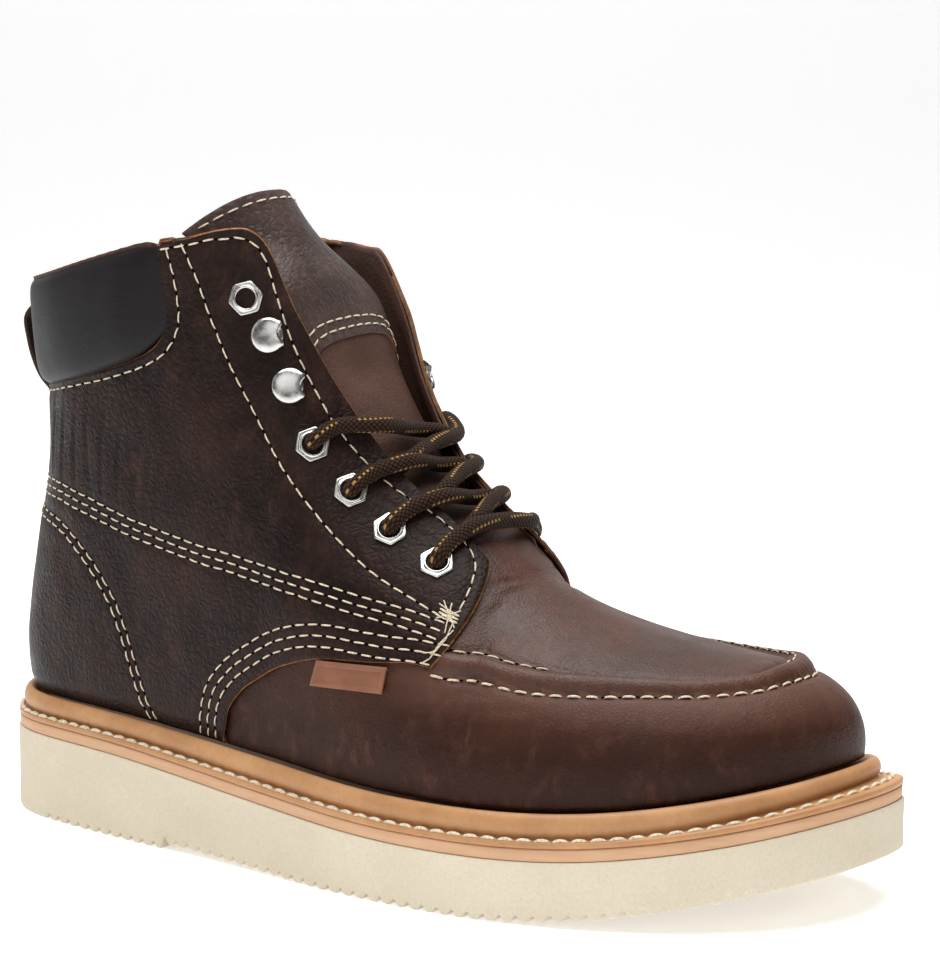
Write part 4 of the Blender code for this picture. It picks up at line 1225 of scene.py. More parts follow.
def lace_cord():
    """A round braid: strands that cross in fine diamonds, with two dashed gold lines that wind round it."""
    sheen = {"Sheen_Weight": 0.04, "Sheen_Roughness": 0.5}
    made = Finish("lace_braid", Roughness=0.75, Specular_IOR_Level=0.12, **sheen)
    uv = made.node("ShaderNodeUVMap", uv_map="braid").outputs["UV"]
    split = made.node("ShaderNodeSeparateXYZ", {"Vector": uv}).outputs
    along, around = split["X"], split["Y"]
    pick = made.maths("MULTIPLY", along, 0.62)
    turns = made.maths("MULTIPLY", around, 10.0)
    rising = made.maths("PINGPONG", made.maths("ADD", pick, turns), 0.5)
    falling = made.maths("PINGPONG", made.maths("SUBTRACT", made.maths("ADD", pick, 40.0), turns), 0.5)
    strands = [made.reach(way, 0.03, 0.4) for way in (rising, falling)]
    braid = made.reach(made.maths("MULTIPLY", *strands), 0.05, 0.6)
    # Darker where the braid's strands dip and lighter where they cross over: painted shade between the
    # strands.
    base = made.mixed(braid, (0.006, 0.0027, 0.0013), (0.054, 0.0225, 0.0090))
    wind = made.maths("ADD", around, made.maths("MULTIPLY", along, 0.006))
    lines = made.maths("PINGPONG", made.maths("MULTIPLY", wind, 3.0), 0.5)
    dashes = made.maths("PINGPONG", pick, 0.5)
    groups = made.reach(made.maths("PINGPONG", made.maths("MULTIPLY", along, 0.055), 0.5), 0.12, 0.2)
    gold = made.maths("MULTIPLY", made.reach(lines, 0.40, 0.44), made.reach(dashes, 0.22, 0.30))
    made.colour(made.mixed(made.maths("MULTIPLY", gold, groups), base, (0.42, 0.235, 0.06)))
    made.bump(braid, 0.28)
    return made.material


# Each leather's dark, middle and rubbed tones, and its grain; the rubbed tone also gives the painted
# highlight along the vamp's toe seam.
TONES = {
    "quarter": [(0.0075, 0.0036, 0.0028), (0.0265, 0.0122, 0.0092), (0.078, 0.032, 0.0195)],
    "vamp": [(0.044, 0.0160, 0.0090), (0.078, 0.0280, 0.0155), (0.135, 0.056, 0.035)],
    "tongue": [(0.032, 0.0195, 0.0170), (0.082, 0.050, 0.043), (0.140, 0.083, 0.068)],
}
TONES["plug"] = TONES["vamp"]
GRAIN_COLUMNS = ("leather", "cell", "grain", "gloss", "wrinkle", "shine", "lines")
GRAINS = [
    ("quarter", 450.0, 0.14, 0.42, 0.30, 0.12, 0.28),
    ("vamp", 820.0, 0.070, 0.43, 0.22, 0.14, 0.16),
    ("plug", 820.0, 0.070, 0.43, 0.22, 0.31, 0.16),
    ("tongue", 420.0, 0.16, 0.42, 0.85, 0.24, 0.25),
]
# Painted shade on the vamp: darker low on its wall and back towards the quarters, as heights and lengths in
# metres, its strength and its tone.
WALL_SHADE_HEIGHT = (0.046, 0.064)
WALL_SHADE_LENGTH = (-0.040, 0.055)
WALL_SHADE_SHARE = 0.80
WALL_SHADE_TONE = (0.020, 0.0056, 0.0027)
# Painted highlight on the toe's shoulder: paler leather, as heights and lengths in metres, its strength and
# its tone.
SHOULDER_HIGHLIGHT_HEIGHT = (0.054, 0.066)
SHOULDER_HIGHLIGHT_LENGTH = (-0.010, 0.045)
SHOULDER_HIGHLIGHT_SHARE = 0.70
SHOULDER_HIGHLIGHT_TONE = (0.150, 0.075, 0.058)
LEATHERS = [boot_leather(**row) for row in records(GRAINS, GRAIN_COLUMNS)]
LEATHER, VAMP_WALL, VAMP_PLUG, PANEL = LEATHERS
RAW_EDGE = raw_edge()
LINING = soft_leather()
COLLAR = collar_leather()
SUEDE = suede()
IVORY = thread("ivory_thread", (0.40, 0.31, 0.19), (0.76, 0.66, 0.49))
NEEDLE_SHADOW = needle_shade()
WELT = welt_leather()
MIDSOLE = midsole_leather()
RUBBER = sole_rubber()
SOCK = sock_leather()
NICKEL = nickel()
TAG = tag_rubber()
BRAID = lace_cord()


def spaced(*stops):
    """Values that run between the stops, each stop a value and the step that follows it."""
    runs = []
    for (first, step), (last, _) in zip(stops[:-1], stops[1:]):
        count = max(int(round((last - first) / step)), 1)
        runs.append(np.linspace(first, last, count, endpoint=False))
    return np.concatenate(runs + [[stops[-1][0]]])


def edge_run(table):
    """A smooth line through a table of shares and rises."""
    return smooth_run(np.array(table) * EDGE_UNITS, 160) / EDGE_UNITS


LOWER_RUN = edge_run(LOWER_EDGE)
WINDOW_RUN = edge_run(WINDOW_EDGE)
LENGTH_READS = np.linspace(0, 1, 80)


def rib_length(side, share):
    """How long the ribs are from the welt to their top."""
    runs = rib_point(side, LENGTH_READS[:, None], np.linspace(0, 1, 60)[None, :])
    lengths = np.linalg.norm(np.diff(runs, axis=1), axis=2).sum(1)
    return np.interp(share, LENGTH_READS, lengths)


def skin_normal(side, share, rise):
    """The upper's outward direction, the same from both sides where they meet."""
    share, rise = paired(share, rise)
    normal = rib_normal(side, share, rise)
    other = rib_normal(-side, share, rise)
    meet = (share <= TINY) | (share >= 1 - TINY) | ((rise >= 1 - TINY) & (share >= THROAT_END - TINY))
    normal = np.where(meet[..., None], unit(normal + other), normal)
    pole = (rise >= 1 - TINY) & (share >= POLE - TINY)
    return np.where(pole[..., None], (0.0, 0.0, 1.0), normal)


def quarter_front(rise):
    return column(FRONT_EDGE, FRONT_NAMES, "share", rise)


def quarter_grid():
    """Shares and rises over the quarter of one side, from its lower edge to its top line."""
    stations = spaced(*QUARTER_STATIONS)
    low = np.where(stations < QUARTER_FOOT, 0.0, np.interp(stations, LOWER_RUN[:, 0], LOWER_RUN[:, 1]))
    window = np.interp(stations, WINDOW_RUN[:, 0], WINDOW_RUN[:, 1])
    high = np.where(stations < TOP_EDGE[0][0], window, column(TOP_EDGE, EDGE_NAMES, "rise", stations))
    corner = np.clip((stations - CORNER_START) / (FRONT_CORNER - CORNER_START), 0, 1)
    high = high - (1 - CORNER_RISE) * (1 - np.sqrt(1 - corner**2))
    rows = spaced(*QUARTER_ROWS)
    rise = low[:, None] + rows[None, :] * (high - low)[:, None]
    lean = ease((stations - FRONT_LEAN_START) / (FRONT_CORNER - FRONT_LEAN_START))
    share = stations[:, None] + lean[:, None] * (quarter_front(rise) - FRONT_CORNER)
    back = ease((LEAN_END - stations) / LEAN_SOFT) * (stations > LEAN_START)
    share -= WINDOW_LEAN * back[:, None] * ease((rise - LEAN_RISE) / LEAN_CLIMB)
    return share, rise


def waves(points):
    """A low, uneven swell of the leather, so that it doesn't shine as one smooth form."""
    x, y, z = np.moveaxis(points, -1, 0)
    first = np.sin(0.21 * x + 0.05 * z + 1.3) * np.sin(0.11 * z + 0.04 * x)
    second = np.sin(0.47 * x - 0.13 * z + 0.6 * np.sin(0.15 * z)) * np.sin(0.19 * z + 0.8)
    third = np.sin(0.33 * y + 0.26 * z)
    return GRAIN_WAVE * (first + 0.5 * second + 0.4 * third)


def creased(table, share, rise):
    """Depth of the listed creases, each a trough between two low ridges."""
    total = np.zeros(np.broadcast(share, rise).shape)
    for row in records(table, CREASE_COLUMNS):
        ahead = (share - row["share"]) * EDGE_UNITS[0]
        up = (rise - row["rise"]) * CREASE_UNIT
        slope = np.radians(row["slope"])
        along = ahead * np.cos(slope) + up * np.sin(slope)
        aside = up * np.cos(slope) - ahead * np.sin(slope) + CREASE_BEND * along**2 / row["length"]
        spread = (aside / row["width"]) ** 2
        total -= row["depth"] * (1 - 1.3 * spread) * np.exp(-spread) * bell(along, row["length"])
    return total


def quarter_point(side, share, rise, lift=0.0):
    """A place on the quarter's face."""
    share, rise = paired(share, rise)
    base = rib_point(side, share, rise)
    tuck = np.where(share < QUARTER_FOOT, ease(rise / FOOT_TUCK), 1.0)
    behind = np.interp(rise, COUNTER_RUN[::-1, 1], COUNTER_RUN[::-1, 0])
    counter = COUNTER_STEP * ease((behind - share) * EDGE_UNITS[0] / COUNTER_SOFT) * (rise < COUNTER_TOP)
    heel = column(HEEL_FACES, ("rise", "face"), "face", rise)
    face = QUARTER_FACE + (heel - QUARTER_FACE) * ease(1 - share / HEEL_FACE_END)
    proud = face * tuck + counter + waves(base) + creased(QUARTER_CREASES, share, rise) + lift
    return base + skin_normal(side, share, rise) * proud[..., None]


COUNTER_RUN = edge_run(COUNTER_ROW)


def near_rows(points, rows):
    """Distance of each point from the nearest of a set of runs."""
    knots = np.vstack(rows)
    tree = kdtree.KDTree(len(knots))
    for index, knot in enumerate(knots):
        tree.insert(knot, index)
    tree.balance()
    flat = points.reshape(-1, 3)
    return np.array([tree.find(p)[2] for p in flat]).reshape(points.shape[:-1])


def shifted(side, run, distance):
    """A run of shares and rises moved sideways on the face, to its left as seen from outside."""
    run = np.array(run, float)
    distance = np.reshape(distance, (-1, 1))
    steps = max(int(abs(distance).max() / 2.0), 1)
    for _ in range(steps):
        share, rise = run.T
        here = rib_point(side, share, rise)
        along = unit(np.gradient(here, axis=0))
        aside = unit(np.cross(rib_normal(side, share, rise), along)) * side * -1
        by_share = (rib_point(side, share + NEAR, rise) - rib_point(side, share - NEAR, rise)) / (2 * NEAR)
        by_rise = (rib_point(side, share, rise + NEAR) - rib_point(side, share, rise - NEAR)) / (2 * NEAR)
        move = aside * distance / steps
        a = (by_share**2).sum(1)
        b = (by_share * by_rise).sum(1)
        d = (by_rise**2).sum(1)
        e = (by_share * move).sum(1)
        f = (by_rise * move).sum(1)
        bottom = np.maximum(a * d - b * b, TINY)
        run[:, 0] += (e * d - b * f) / bottom
        run[:, 1] += (a * f - b * e) / bottom
    return run


def quarter_rows(side):
    """Every sewn row on one quarter, as runs of shares and rises."""
    rows = [edge_run(EDGE_ROW), edge_run(EYESTAY_ROW), edge_run(WINDOW_ROW)]
    for gap in CROSS_GAPS:
        rows.append(shifted(side, edge_run(CROSS_ROW), -gap))
    for gap in COUNTER_GAPS:
        rows.append(shifted(side, COUNTER_RUN, -gap))
    lower = resample(LOWER_RUN * EDGE_UNITS, 160) / EDGE_UNITS
    closer = LOWER_CLOSER * ease((lower[:, 0] - LOWER_CLOSING[0]) / (LOWER_CLOSING[1] - LOWER_CLOSING[0]))
    for gap in LOWER_GAPS:
        rows.append(shifted(side, lower, gap - closer))
    return [trimmed(row) for row in rows]


def trimmed(row):
    """A run cut back to the quarter: before the heel's middle, above the welt and behind the front edge."""
    share, rise = row.T
    inside = (share >= 0) & (rise > ROW_LOWEST) & (rise < ROW_HIGHEST)
    front = (share < quarter_front(rise) - FRONT_CLEAR) | (rise > FRONT_ROW_TOP)
    return row[inside & front]


def sheet(side, points):
    """The faces of one side's grid, turned outward."""
    faces = grid_faces(*points.shape[:2])
    return faces if side > 0 else faces[:, ::-1]


def two_sided(name, grids, finishes, values):
    """One sheet from the grids of both sides, welded where they meet."""
    points = np.vstack([grid.reshape(-1, 3) for grid in grids])
    first = grids[0].shape[0] * grids[0].shape[1]
    faces = np.vstack([sheet(SIDES[0], grids[0]), sheet(SIDES[1], grids[1]) + first])
    flat = {label: np.concatenate([part.ravel() for part in parts]) for label, parts in values.items()}
    return mesh_piece(name, points, faces, finishes, flat, outward=False)


def build_quarters():
    """The two quarters: one sheet of leather round the heel, cut at its window, front and lower edges."""
    share, rise = quarter_grid()
    rolled = np.zeros(share.shape)
    rolled[:, 0] = np.where(share[:, 0] > QUARTER_FOOT, EDGE_ROLL, 0.0)
    rolled[:, -1] = EDGE_ROLL
    rolled[-1] = EDGE_ROLL
    grids = []
    cut = rolled / EDGE_ROLL
    cut[:, 0] *= LOW_EDGE_TAN
    cut[-1] *= LOW_EDGE_TAN
    for side in SIDES:
        rows = [quarter_point(side, *row.T) for row in ROWS[side]]
        face = quarter_point(side, share, rise)
        pulled = SEWN_PULL * bell(near_rows(face, rows), SEWN_WIDTH)
        grids.append(quarter_point(side, share, rise, -pulled - rolled))
    made = two_sided("quarters", grids, [LEATHER, RAW_EDGE], {"cut": [cut, cut]})
    return thicken(made, QUARTER_LEATHER)


def moc_place(side, share, rise):
    """Distance above the toe seam's outer row, and the width of its roll."""
    length = rib_length(side, share)
    outer = column(MOC, MOC_NAMES, "outer", share)
    inner = column(MOC, MOC_NAMES, "inner", share)
    return (rise - outer) * length, (inner - outer) * length


def vamp_relief(side, share, rise):
    """How far the vamp's face stands off the ribs: the rolled toe seam with its puckers, and soft creases."""
    above, width = moc_place(side, share, rise)
    across = np.clip(above / width, 0, 1)
    shown = ease((share - MOC_SHOWN[0]) / (MOC_SHOWN[1] - MOC_SHOWN[0]))
    tall = MOC_HEIGHT + FAR_MOC_MORE[side] * ease((FAR_MOC_END - share) / FAR_MOC_SOFT)
    roll = tall * np.sin(np.pi * across**MOC_LEAN) ** MOC_ROUND
    groove = -MOC_GROOVE * bell(above + GROOVE_BELOW, GROOVE_WIDTH) - MOC_CREASE * bell(above - width, 1.0)
    beat = 0.5 + 0.5 * np.cos(2 * np.pi * share * EDGE_UNITS[0] / MOC_PITCH_ON_EDGE)
    pucker = -PUCKER * beat * bell(above - PUCKER_ABOVE, PUCKER_WIDTH)
    plug = PLUG_CROWN * ease((above - width) / PLUG_SOFT)
    under = -VAMP_UNDERCUT * ease((quarter_front(rise) - FRONT_CLEAR - share) / UNDERCUT_SOFT)
    return shown * (roll + groove + pucker) + plug + under


def vamp_top(share):
    """Where the vamp's sheet ends under the quarter, and further forward at the throat or the ridge."""
    lower = np.interp(share, LOWER_RUN[:, 0], LOWER_RUN[:, 1])
    climb = ease((share - VAMP_RISE_START) / (VAMP_RISE_END - VAMP_RISE_START))
    return (1 - climb) * (lower + VAMP_UNDER) + climb


def vamp_point(side, share, rise, lift=0.0):
    base = rib_point(side, share, rise)
    proud = vamp_relief(side, share, rise) + VAMP_WAVE * waves(base) + lift
    return base + skin_normal(side, share, rise) * proud[..., None]


def gathered(items, label, size=1, kind=np.float32):
    """One property of every item, as an array."""
    values = np.empty(len(items) * size, kind)
    items.foreach_get(label, values)
    return values.reshape(-1, size) if size > 1 else values


def relax(obj, label, passes):
    """Evens out the sheet where the named value is above 0."""
    mesh = obj.data
    place = gathered(mesh.vertices, "co", 3, float)
    count = len(place)
    weight = gathered(mesh.attributes[label].data, "value")
    ends = gathered(mesh.edges, "vertices", 2, np.int32)
    degree = np.bincount(ends.ravel(), minlength=count)[:, None]
    for _ in range(passes):
        total = np.zeros_like(place)
        np.add.at(total, ends[:, 0], place[ends[:, 1]])
        np.add.at(total, ends[:, 1], place[ends[:, 0]])
        place += 0.5 * weight[:, None] * (total / degree - place)
    mesh.vertices.foreach_set("co", place.ravel())
    mesh.update()


def press(obj, label):
    """Moves the sheet out by the named millimetres."""
    mesh = obj.data
    place = gathered(mesh.vertices, "co", 3, float)
    normal = gathered(mesh.vertex_normals, "vector", 3, float)
    depth = gathered(mesh.attributes[label].data, "value")
    mesh.vertices.foreach_set("co", (place + normal * depth[:, None] * MM).ravel())
    mesh.update()


def finish_where(obj, label, slot):
    """Gives the faces whose points all carry the named value another of the object's finishes."""
    mesh = obj.data
    value = gathered(mesh.attributes[label].data, "value")
    for face in mesh.polygons:
        if value[list(face.vertices)].min() > 0.5:
            face.material_index = slot


def build_vamp():
    """The vamp and its plug as one sheet, bridged over the foot of the throat."""
    stations = spaced(*VAMP_STATIONS)
    rows = spaced(*VAMP_ROWS)
    rise = rows[None, :] * vamp_top(stations)[:, None]
    share = np.repeat(stations[:, None], len(rows), 1)
    grids = [vamp_point(side, share, rise) for side in SIDES]
    above, width = moc_place(-1, share, rise)
    # A painted highlight along the top of the toe seam's roll, kept as a value on each point.
    wear = np.where(share > MOC_SHOWN[0], bell((above - RIDGE_HIGHLIGHT_AT * width) / width, RIDGE_HIGHLIGHT_WIDTH), 0.0)
    inner = column(MOC, MOC_NAMES, "inner", share)
    plug = ease((rise - inner - EASED_PLUG[0]) / EASED_PLUG[1])
    instep = ease((EASED_INSTEP[0] - share) / EASED_INSTEP[1])
    ridge = np.maximum(ease((rise - EASED_RIDGE[0]) / EASED_RIDGE[1]), plug * instep)
    top = ridge * ease((share - EASED_THROAT[0]) / EASED_THROAT[1])
    folds = creased(VAMP_CREASES, share, rise)
    inside = rise > column(MOC, MOC_NAMES, "outer", share)
    points = [grid.reshape(-1, 3) for grid in grids]
    size = share.size
    faces = [sheet(SIDES[0], grids[0]), sheet(SIDES[1], grids[1]) + size]
    bridged = np.flatnonzero((stations >= BRIDGE_FROM - TINY) & (stations <= THROAT_END + TINY))
    across = np.linspace(0, 1, 15)[None, :, None]
    left, right = (grid[bridged, -1][:, None] for grid in grids)
    span = left + across * (right - left)
    crown = BRIDGE_CROWN * np.sin(np.pi * across) * np.linalg.norm(right - left, axis=-1, keepdims=True)
    bridge = span + crown * OVER_THROAT
    points.append(bridge.reshape(-1, 3))
    faces.append(grid_faces(*bridge.shape[:2])[:, ::-1] + 2 * size)
    filler = np.ones(bridge.shape[0] * bridge.shape[1])
    values = {}
    spread = [("wear", RIDGE_HIGHLIGHT_SHARE * wear, 0), ("top", top, 1), ("fold", folds, 0), ("plug", inside, 1)]
    for label, value, on_bridge in spread:
        values[label] = np.concatenate([value.ravel(), value.ravel(), on_bridge * filler])
    finishes = [VAMP_WALL, RAW_EDGE, VAMP_PLUG]
    made = mesh_piece("vamp", np.vstack(points), np.vstack(faces), finishes, values, False)
    finish_where(made, "plug", finishes.index(VAMP_PLUG))
    relax(made, "top", EASE_PASSES)
    press(made, "fold")
    return thicken(made, VAMP_LEATHER)


def build_lining():
    """The lining inside the upper, sewn to the leather along the throat."""
    stations = spaced(*LINING_STATIONS)
    stations = np.sort(np.append(stations[abs(stations - THROAT_END) > 0.002], THROAT_END))
    rows = spaced(*LINING_ROWS)
    edge = column(TOP_EDGE, EDGE_NAMES, "rise", stations) - LINING_LOW
    high = np.where(stations < PAD_END, LINING_UNDER_PAD, np.where(stations < LINING_FRONT, edge, 1.0))
    rise = rows[None, :] * high[:, None]
    share = np.repeat(stations[:, None], len(rows), 1)
    sewn = ease(1 - (1 - rise) / LINING_SEWN) * (share < LINING_FRONT)
    depth = LINING_DEPTH * (1 - sewn) + SEWN_DEPTH * sewn
    grids = []
    for side in SIDES:
        normal = skin_normal(side, share, rise)
        grids.append(rib_point(side, share, rise) - normal * depth[..., None])
    made = two_sided("lining", grids, [LINING], {})
    return thicken(made, LINING_THICK)


def round_heel(shares):
    """Sides and shares from the medial end, round the heel, to the lateral end."""
    return [(1, share) for share in shares[:0:-1]] + [(-1, share) for share in shares]


def build_collar():
    """The padded collar: a full roll over the ankle's edge, dark outside and lined inside."""
    shares = spaced((0.0, 0.0045), (0.27, 0.0025), (PAD_END, 0.0025))
    sections = np.array([collar_section(side, float(share)) for side, share in round_heel(shares)])
    made = loft("collar_pad_cover", sections, [COLLAR, LINING], capped=True)
    count = sections.shape[1]
    inner = int(count * COLLAR_LINED)
    for index, face in enumerate(made.data.polygons):
        face.material_index = int(inner <= index % count < count - 2 and index < count * (len(sections) - 1))
    return made


def pad_top(puff):
    """How far the pad rises over the collar's edge."""
    return PAD_TOP * float(ease(puff / PAD_FULL))


def collar_section(side, share):
    low = float(column(PAD, PAD_COLUMNS, "rise", share))
    puff = float(column(PAD, PAD_COLUMNS, "puff", share))
    high = (1 - low) * float(rib_length(side, share))
    top = pad_top(puff)
    profile = []
    for up, over, swell in PAD_OUTSIDE:
        profile.append((up * high + over * top, PAD_FACES[0] + swell * PAD_OUT * puff))
    profile.append((high + top, PAD_CREST))
    for up, over, swell in PAD_INSIDE:
        profile.append((up * high + over * top, PAD_FACES[1] - swell * PAD_IN * puff))
    loop = closed_curve(profile, 4)
    up, out = loop.T
    rise = low + np.clip(up / high, 0, 1) * (1 - low)
    lift = np.maximum(up - high, 0.0) + np.minimum(up, 0.0)
    tip = unit(rib_point(side, share, 1.0) - rib_point(side, share, 1.0 - NEAR))
    normal = skin_normal(side, share, rise)
    return rib_point(side, share, rise) + normal * out[:, None] + tip * lift[:, None]


def build_binding():
    """The napped strip sewn along the collar's top edge."""
    shares = spaced((0.0, 0.0045), (BINDING_END, 0.0045))
    sections = []
    half = BINDING_THICK / 2
    for side, share in round_heel(shares):
        puff = float(column(PAD, PAD_COLUMNS, "puff", share))
        top = rib_point(side, share, 1.0)
        normal = skin_normal(side, share, 1.0)
        tip = unit(top - rib_point(side, share, 1.0 - NEAR))
        ragged = sum(tall * np.sin(often * share + start) for tall, often, start in BINDING_RAGGED)
        shoulder = BINDING_SHOULDER * BINDING_HIGH + ragged
        crest = BINDING_HIGH - BINDING_SUNK + ragged
        sides = [(half, BINDING_FOOT), (half, shoulder)]
        profile = sides + [(0.0, crest)] + [(-out, up) for out, up in reversed(sides)]
        base = top + normal * (BINDING_AT * puff) + tip * (pad_top(puff) - BINDING_SUNK)
        sections.append([base + normal * out + tip * up for out, up in profile])
    return loft("collar_binding", sections, [SUEDE], capped=True)


def flap_rises(share, reach, count):
    """Rises from a given distance under the flap up to the throat's edge."""
    rises = np.linspace(0.5, 1.0, 60)
    run = rib_point(-1, share, rises)
    left = np.cumsum(np.linalg.norm(np.diff(run[::-1], axis=0), axis=1))
    lowest = rises[::-1][1 + int(np.searchsorted(left, reach))]
    return np.linspace(lowest, 1.0, count)


def rounded(points, passes):
    """A run with its corners eased; its ends stay."""
    points = points.copy()
    for _ in range(passes):
        points[1:-1] = 0.25 * points[:-2] + 0.5 * points[1:-1] + 0.25 * points[2:]
    return points


def tongue_row(share, depth):
    """A row of the tongue's outer face: under one flap, over the throat and under the other."""
    rises = flap_rises(share, TONGUE_TUCK, 5)
    wings = []
    for side in SIDES:
        face = rib_point(side, share, rises)
        wings.append(face - rib_normal(side, share, rises) * depth)
    left, right = wings[0], wings[1][::-1]
    gap = float(right[0, 1] - left[-1, 1])
    if gap > LEAST_BRIDGE:
        bridge = np.linspace(*TONGUE_BRIDGE, 7)[:, None]
        full = np.clip((gap - LEAST_BRIDGE) / FULL_CROWN_GAP, 0, 1)
        crown = TONGUE_CROWN * full * np.sin(np.pi * bridge)
        middle = left[-1] + bridge * (right[0] - left[-1]) + crown * OVER_THROAT
        run = np.vstack([left, middle, right])
    else:
        run = np.vstack([left[:-1], right[1:]])
    return rounded(resample(run, TONGUE_ACROSS), TONGUE_EASE)


def tongue_rows():
    """The tongue's outer face as a close grid, its rows' heights above the panel's foot, and its columns."""
    depth = TONGUE_CLEAR + TONGUE_PANEL
    rows = [tongue_row(share, depth) for share in TONGUE_SHARES]
    across = np.linspace(-1, 1, TONGUE_ACROSS)
    for share, row in zip(TONGUE_SHARES, rows):
        row[:, 1] -= column(TONGUE_PULLS, ("share", "pull"), "pull", share) * ease(across + 0.4)
    for row in records(TONGUE_TOP, TONGUE_TOP_COLUMNS):
        x = row["x"] - row["sweep"] * across**2
        z = row["z"] - row["drop"] * abs(across) ** TOP_DROP_POWER
        rows.append(np.stack([x, row["mid"] + row["half"] * across, z], -1))
    rows = np.array(rows)
    middle = rows[:, TONGUE_ACROSS // 2]
    at = distances(middle)
    reads = np.linspace(0, at[-1], TONGUE_ROWS)
    names = ("at", "x", "y", "z")
    tilt = PANEL_TILT * np.sin(np.pi * reads / at[-1])
    grid = np.empty((TONGUE_ROWS, TONGUE_ACROSS, 3))
    for place, aside in enumerate(across):
        table = np.column_stack([at, rows[:, place]])
        for axis, name in enumerate(names[1:]):
            grid[:, place, axis] = column(table, names, name, reads + aside * tilt)
    return grid, reads - at[TONGUE_SHARES.index(PANEL_FROM)], across


def outward_of(grid):
    """The direction out of the tongue's face."""
    normal = unit(np.cross(np.gradient(grid, axis=1), np.gradient(grid, axis=0)))
    return normal * np.sign(normal[..., :1].mean() or 1.0)


def open_sheet(name, grid, outward, finishes, values=None):
    """A sheet from one grid, turned the given way."""
    faces = grid_faces(*grid.shape[:2])
    corner = grid[0, 0]
    turn = np.cross(grid[0, 1] - corner, grid[1, 1] - corner)
    if turn @ outward[0, 0] < 0:
        faces = faces[:, ::-1]
    return mesh_piece(name, grid.reshape(-1, 3), faces, finishes, values, outward=False)


def build_tongue():
    """The soft tongue and the leather panel sewn on its upper half."""
    grid, above, across = tongue_rows()
    out = outward_of(grid)
    panel = above >= 0
    dent = bell(above - DENT_AT[0], DENT_SIZE[0])[:, None] * bell(across - DENT_AT[1], DENT_SIZE[1])
    grid = grid - out * (DENT_DEPTH * dent)[..., None]
    out = outward_of(grid)
    soft = thicken(open_sheet("tongue_soft", grid, out, [LINING]), TONGUE_THICK, 0.7)
    top = grid[panel] + out[panel] * TONGUE_PANEL
    cover = open_sheet("tongue_panel", top, out[panel], [PANEL, RAW_EDGE])
    return soft, thicken(cover, PANEL_LEATHER, 0.25), top, out[panel]


def underside(x):
    """Height of the crests of the tread."""
    arch = ARCH_RISE * (ARCH_END - x) / (ARCH_END - BREAST_X)
    arch = np.where((x > BREAST_X) & (x < ARCH_END), arch, 0.0)
    spring = np.clip((x - SPRING_START) / (LENGTH - SPRING_START), 0, 1) ** SPRING_POWER
    return arch + TOE_SPRING * spring


def tread(x, y):
    """Height of the underside with its ripples and the recess at the waist."""
    count = np.round((x - RIPPLE_FIRST) / RIPPLE_PITCH)
    off = abs(x - RIPPLE_FIRST - RIPPLE_PITCH * count)
    groove = RIPPLE_DEPTH * ease(1.15 * (1 - off / RIPPLE_HALF)) * ((count >= 0) & (count < RIPPLE_COUNT))
    off_x = abs(x - WAIST_PANEL_AT[0]) - WAIST_PANEL[0] / 2
    off_y = abs(y - WAIST_PANEL_AT[1]) - WAIST_PANEL[1] / 2
    return np.where((off_x < 0) & (off_y < 0), WAIST_PANEL_TOP, underside(x) + groove)


def sole_shares(count):
    """Shares from heel to toe, closer together at the round ends."""
    turn = np.linspace(0, np.pi, count)
    return 0.25 * (1 - np.cos(turn)) + 0.5 * turn / np.pi


def slab(inset, low, high, profile, across, count, follow_upper=False):
    """Sections across the sole: up the medial wall, over the top, down the lateral wall and back below."""
    shares = sole_shares(count)
    if follow_upper:
        inset = inset + upper_inset(shares)
    walls = {}
    for side in SIDES:
        wall = []
        for tuck, climb in profile:
            place = edge_point(side, shares, inset + tuck)[0]
            base = low(place[:, 0], place[:, 1])
            wall.append(np.column_stack([place, base + climb * (high(place[:, 0]) - base)]))
        walls[side] = np.stack(wall, 1)
    blend = np.linspace(0, 1, across + 2)[1:-1][None, :, None]
    under = walls[-1][:, :1] + blend * (walls[1][:, :1] - walls[-1][:, :1])
    under[..., 2] = low(under[..., 0], under[..., 1])
    over = walls[1][:, -1:] + blend[:, ::6] * (walls[-1][:, -1:] - walls[1][:, -1:])
    over[..., 2] = high(over[..., 0])
    return np.concatenate([walls[-1][:, :1], under, walls[1], over, walls[-1][:, :0:-1]], 1)


def build_sole():
    """The wedge with its rippled tread, the midsole strip and the sock inside."""
    wedge = slab(0.0, tread, lambda x: height("wedge", x), WALL_PROFILE, SOLE_ACROSS, SOLE_STATIONS)
    wedge = loft("wedge_sole", wedge, [RUBBER])
    strip_profile = [(0.35, 0.0), (0.0, 0.12), (0.1, 0.5), (0.0, 0.88), (0.35, 1.0)]
    strip = slab(MIDSOLE_INSET, lambda x, y: height("wedge", x) + 0.12, midsole_top, strip_profile, 8, 300)
    strip = loft("midsole_strip", strip, [MIDSOLE])
    sock_profile = [(0.6, 0.0), (0.0, 0.3), (0.2, 0.85), (1.2, 1.0)]

    def sock_low(x, y):
        return midsole_top(x) + GAP

    def sock_top(x):
        return midsole_top(x) + GAP + INSOLE_THICK

    sock = slab(WALL + INSOLE_CLEAR, sock_low, sock_top, sock_profile, 14, 200, True)
    sock = loft("sock", sock, [SOCK])
    return wedge, strip, sock


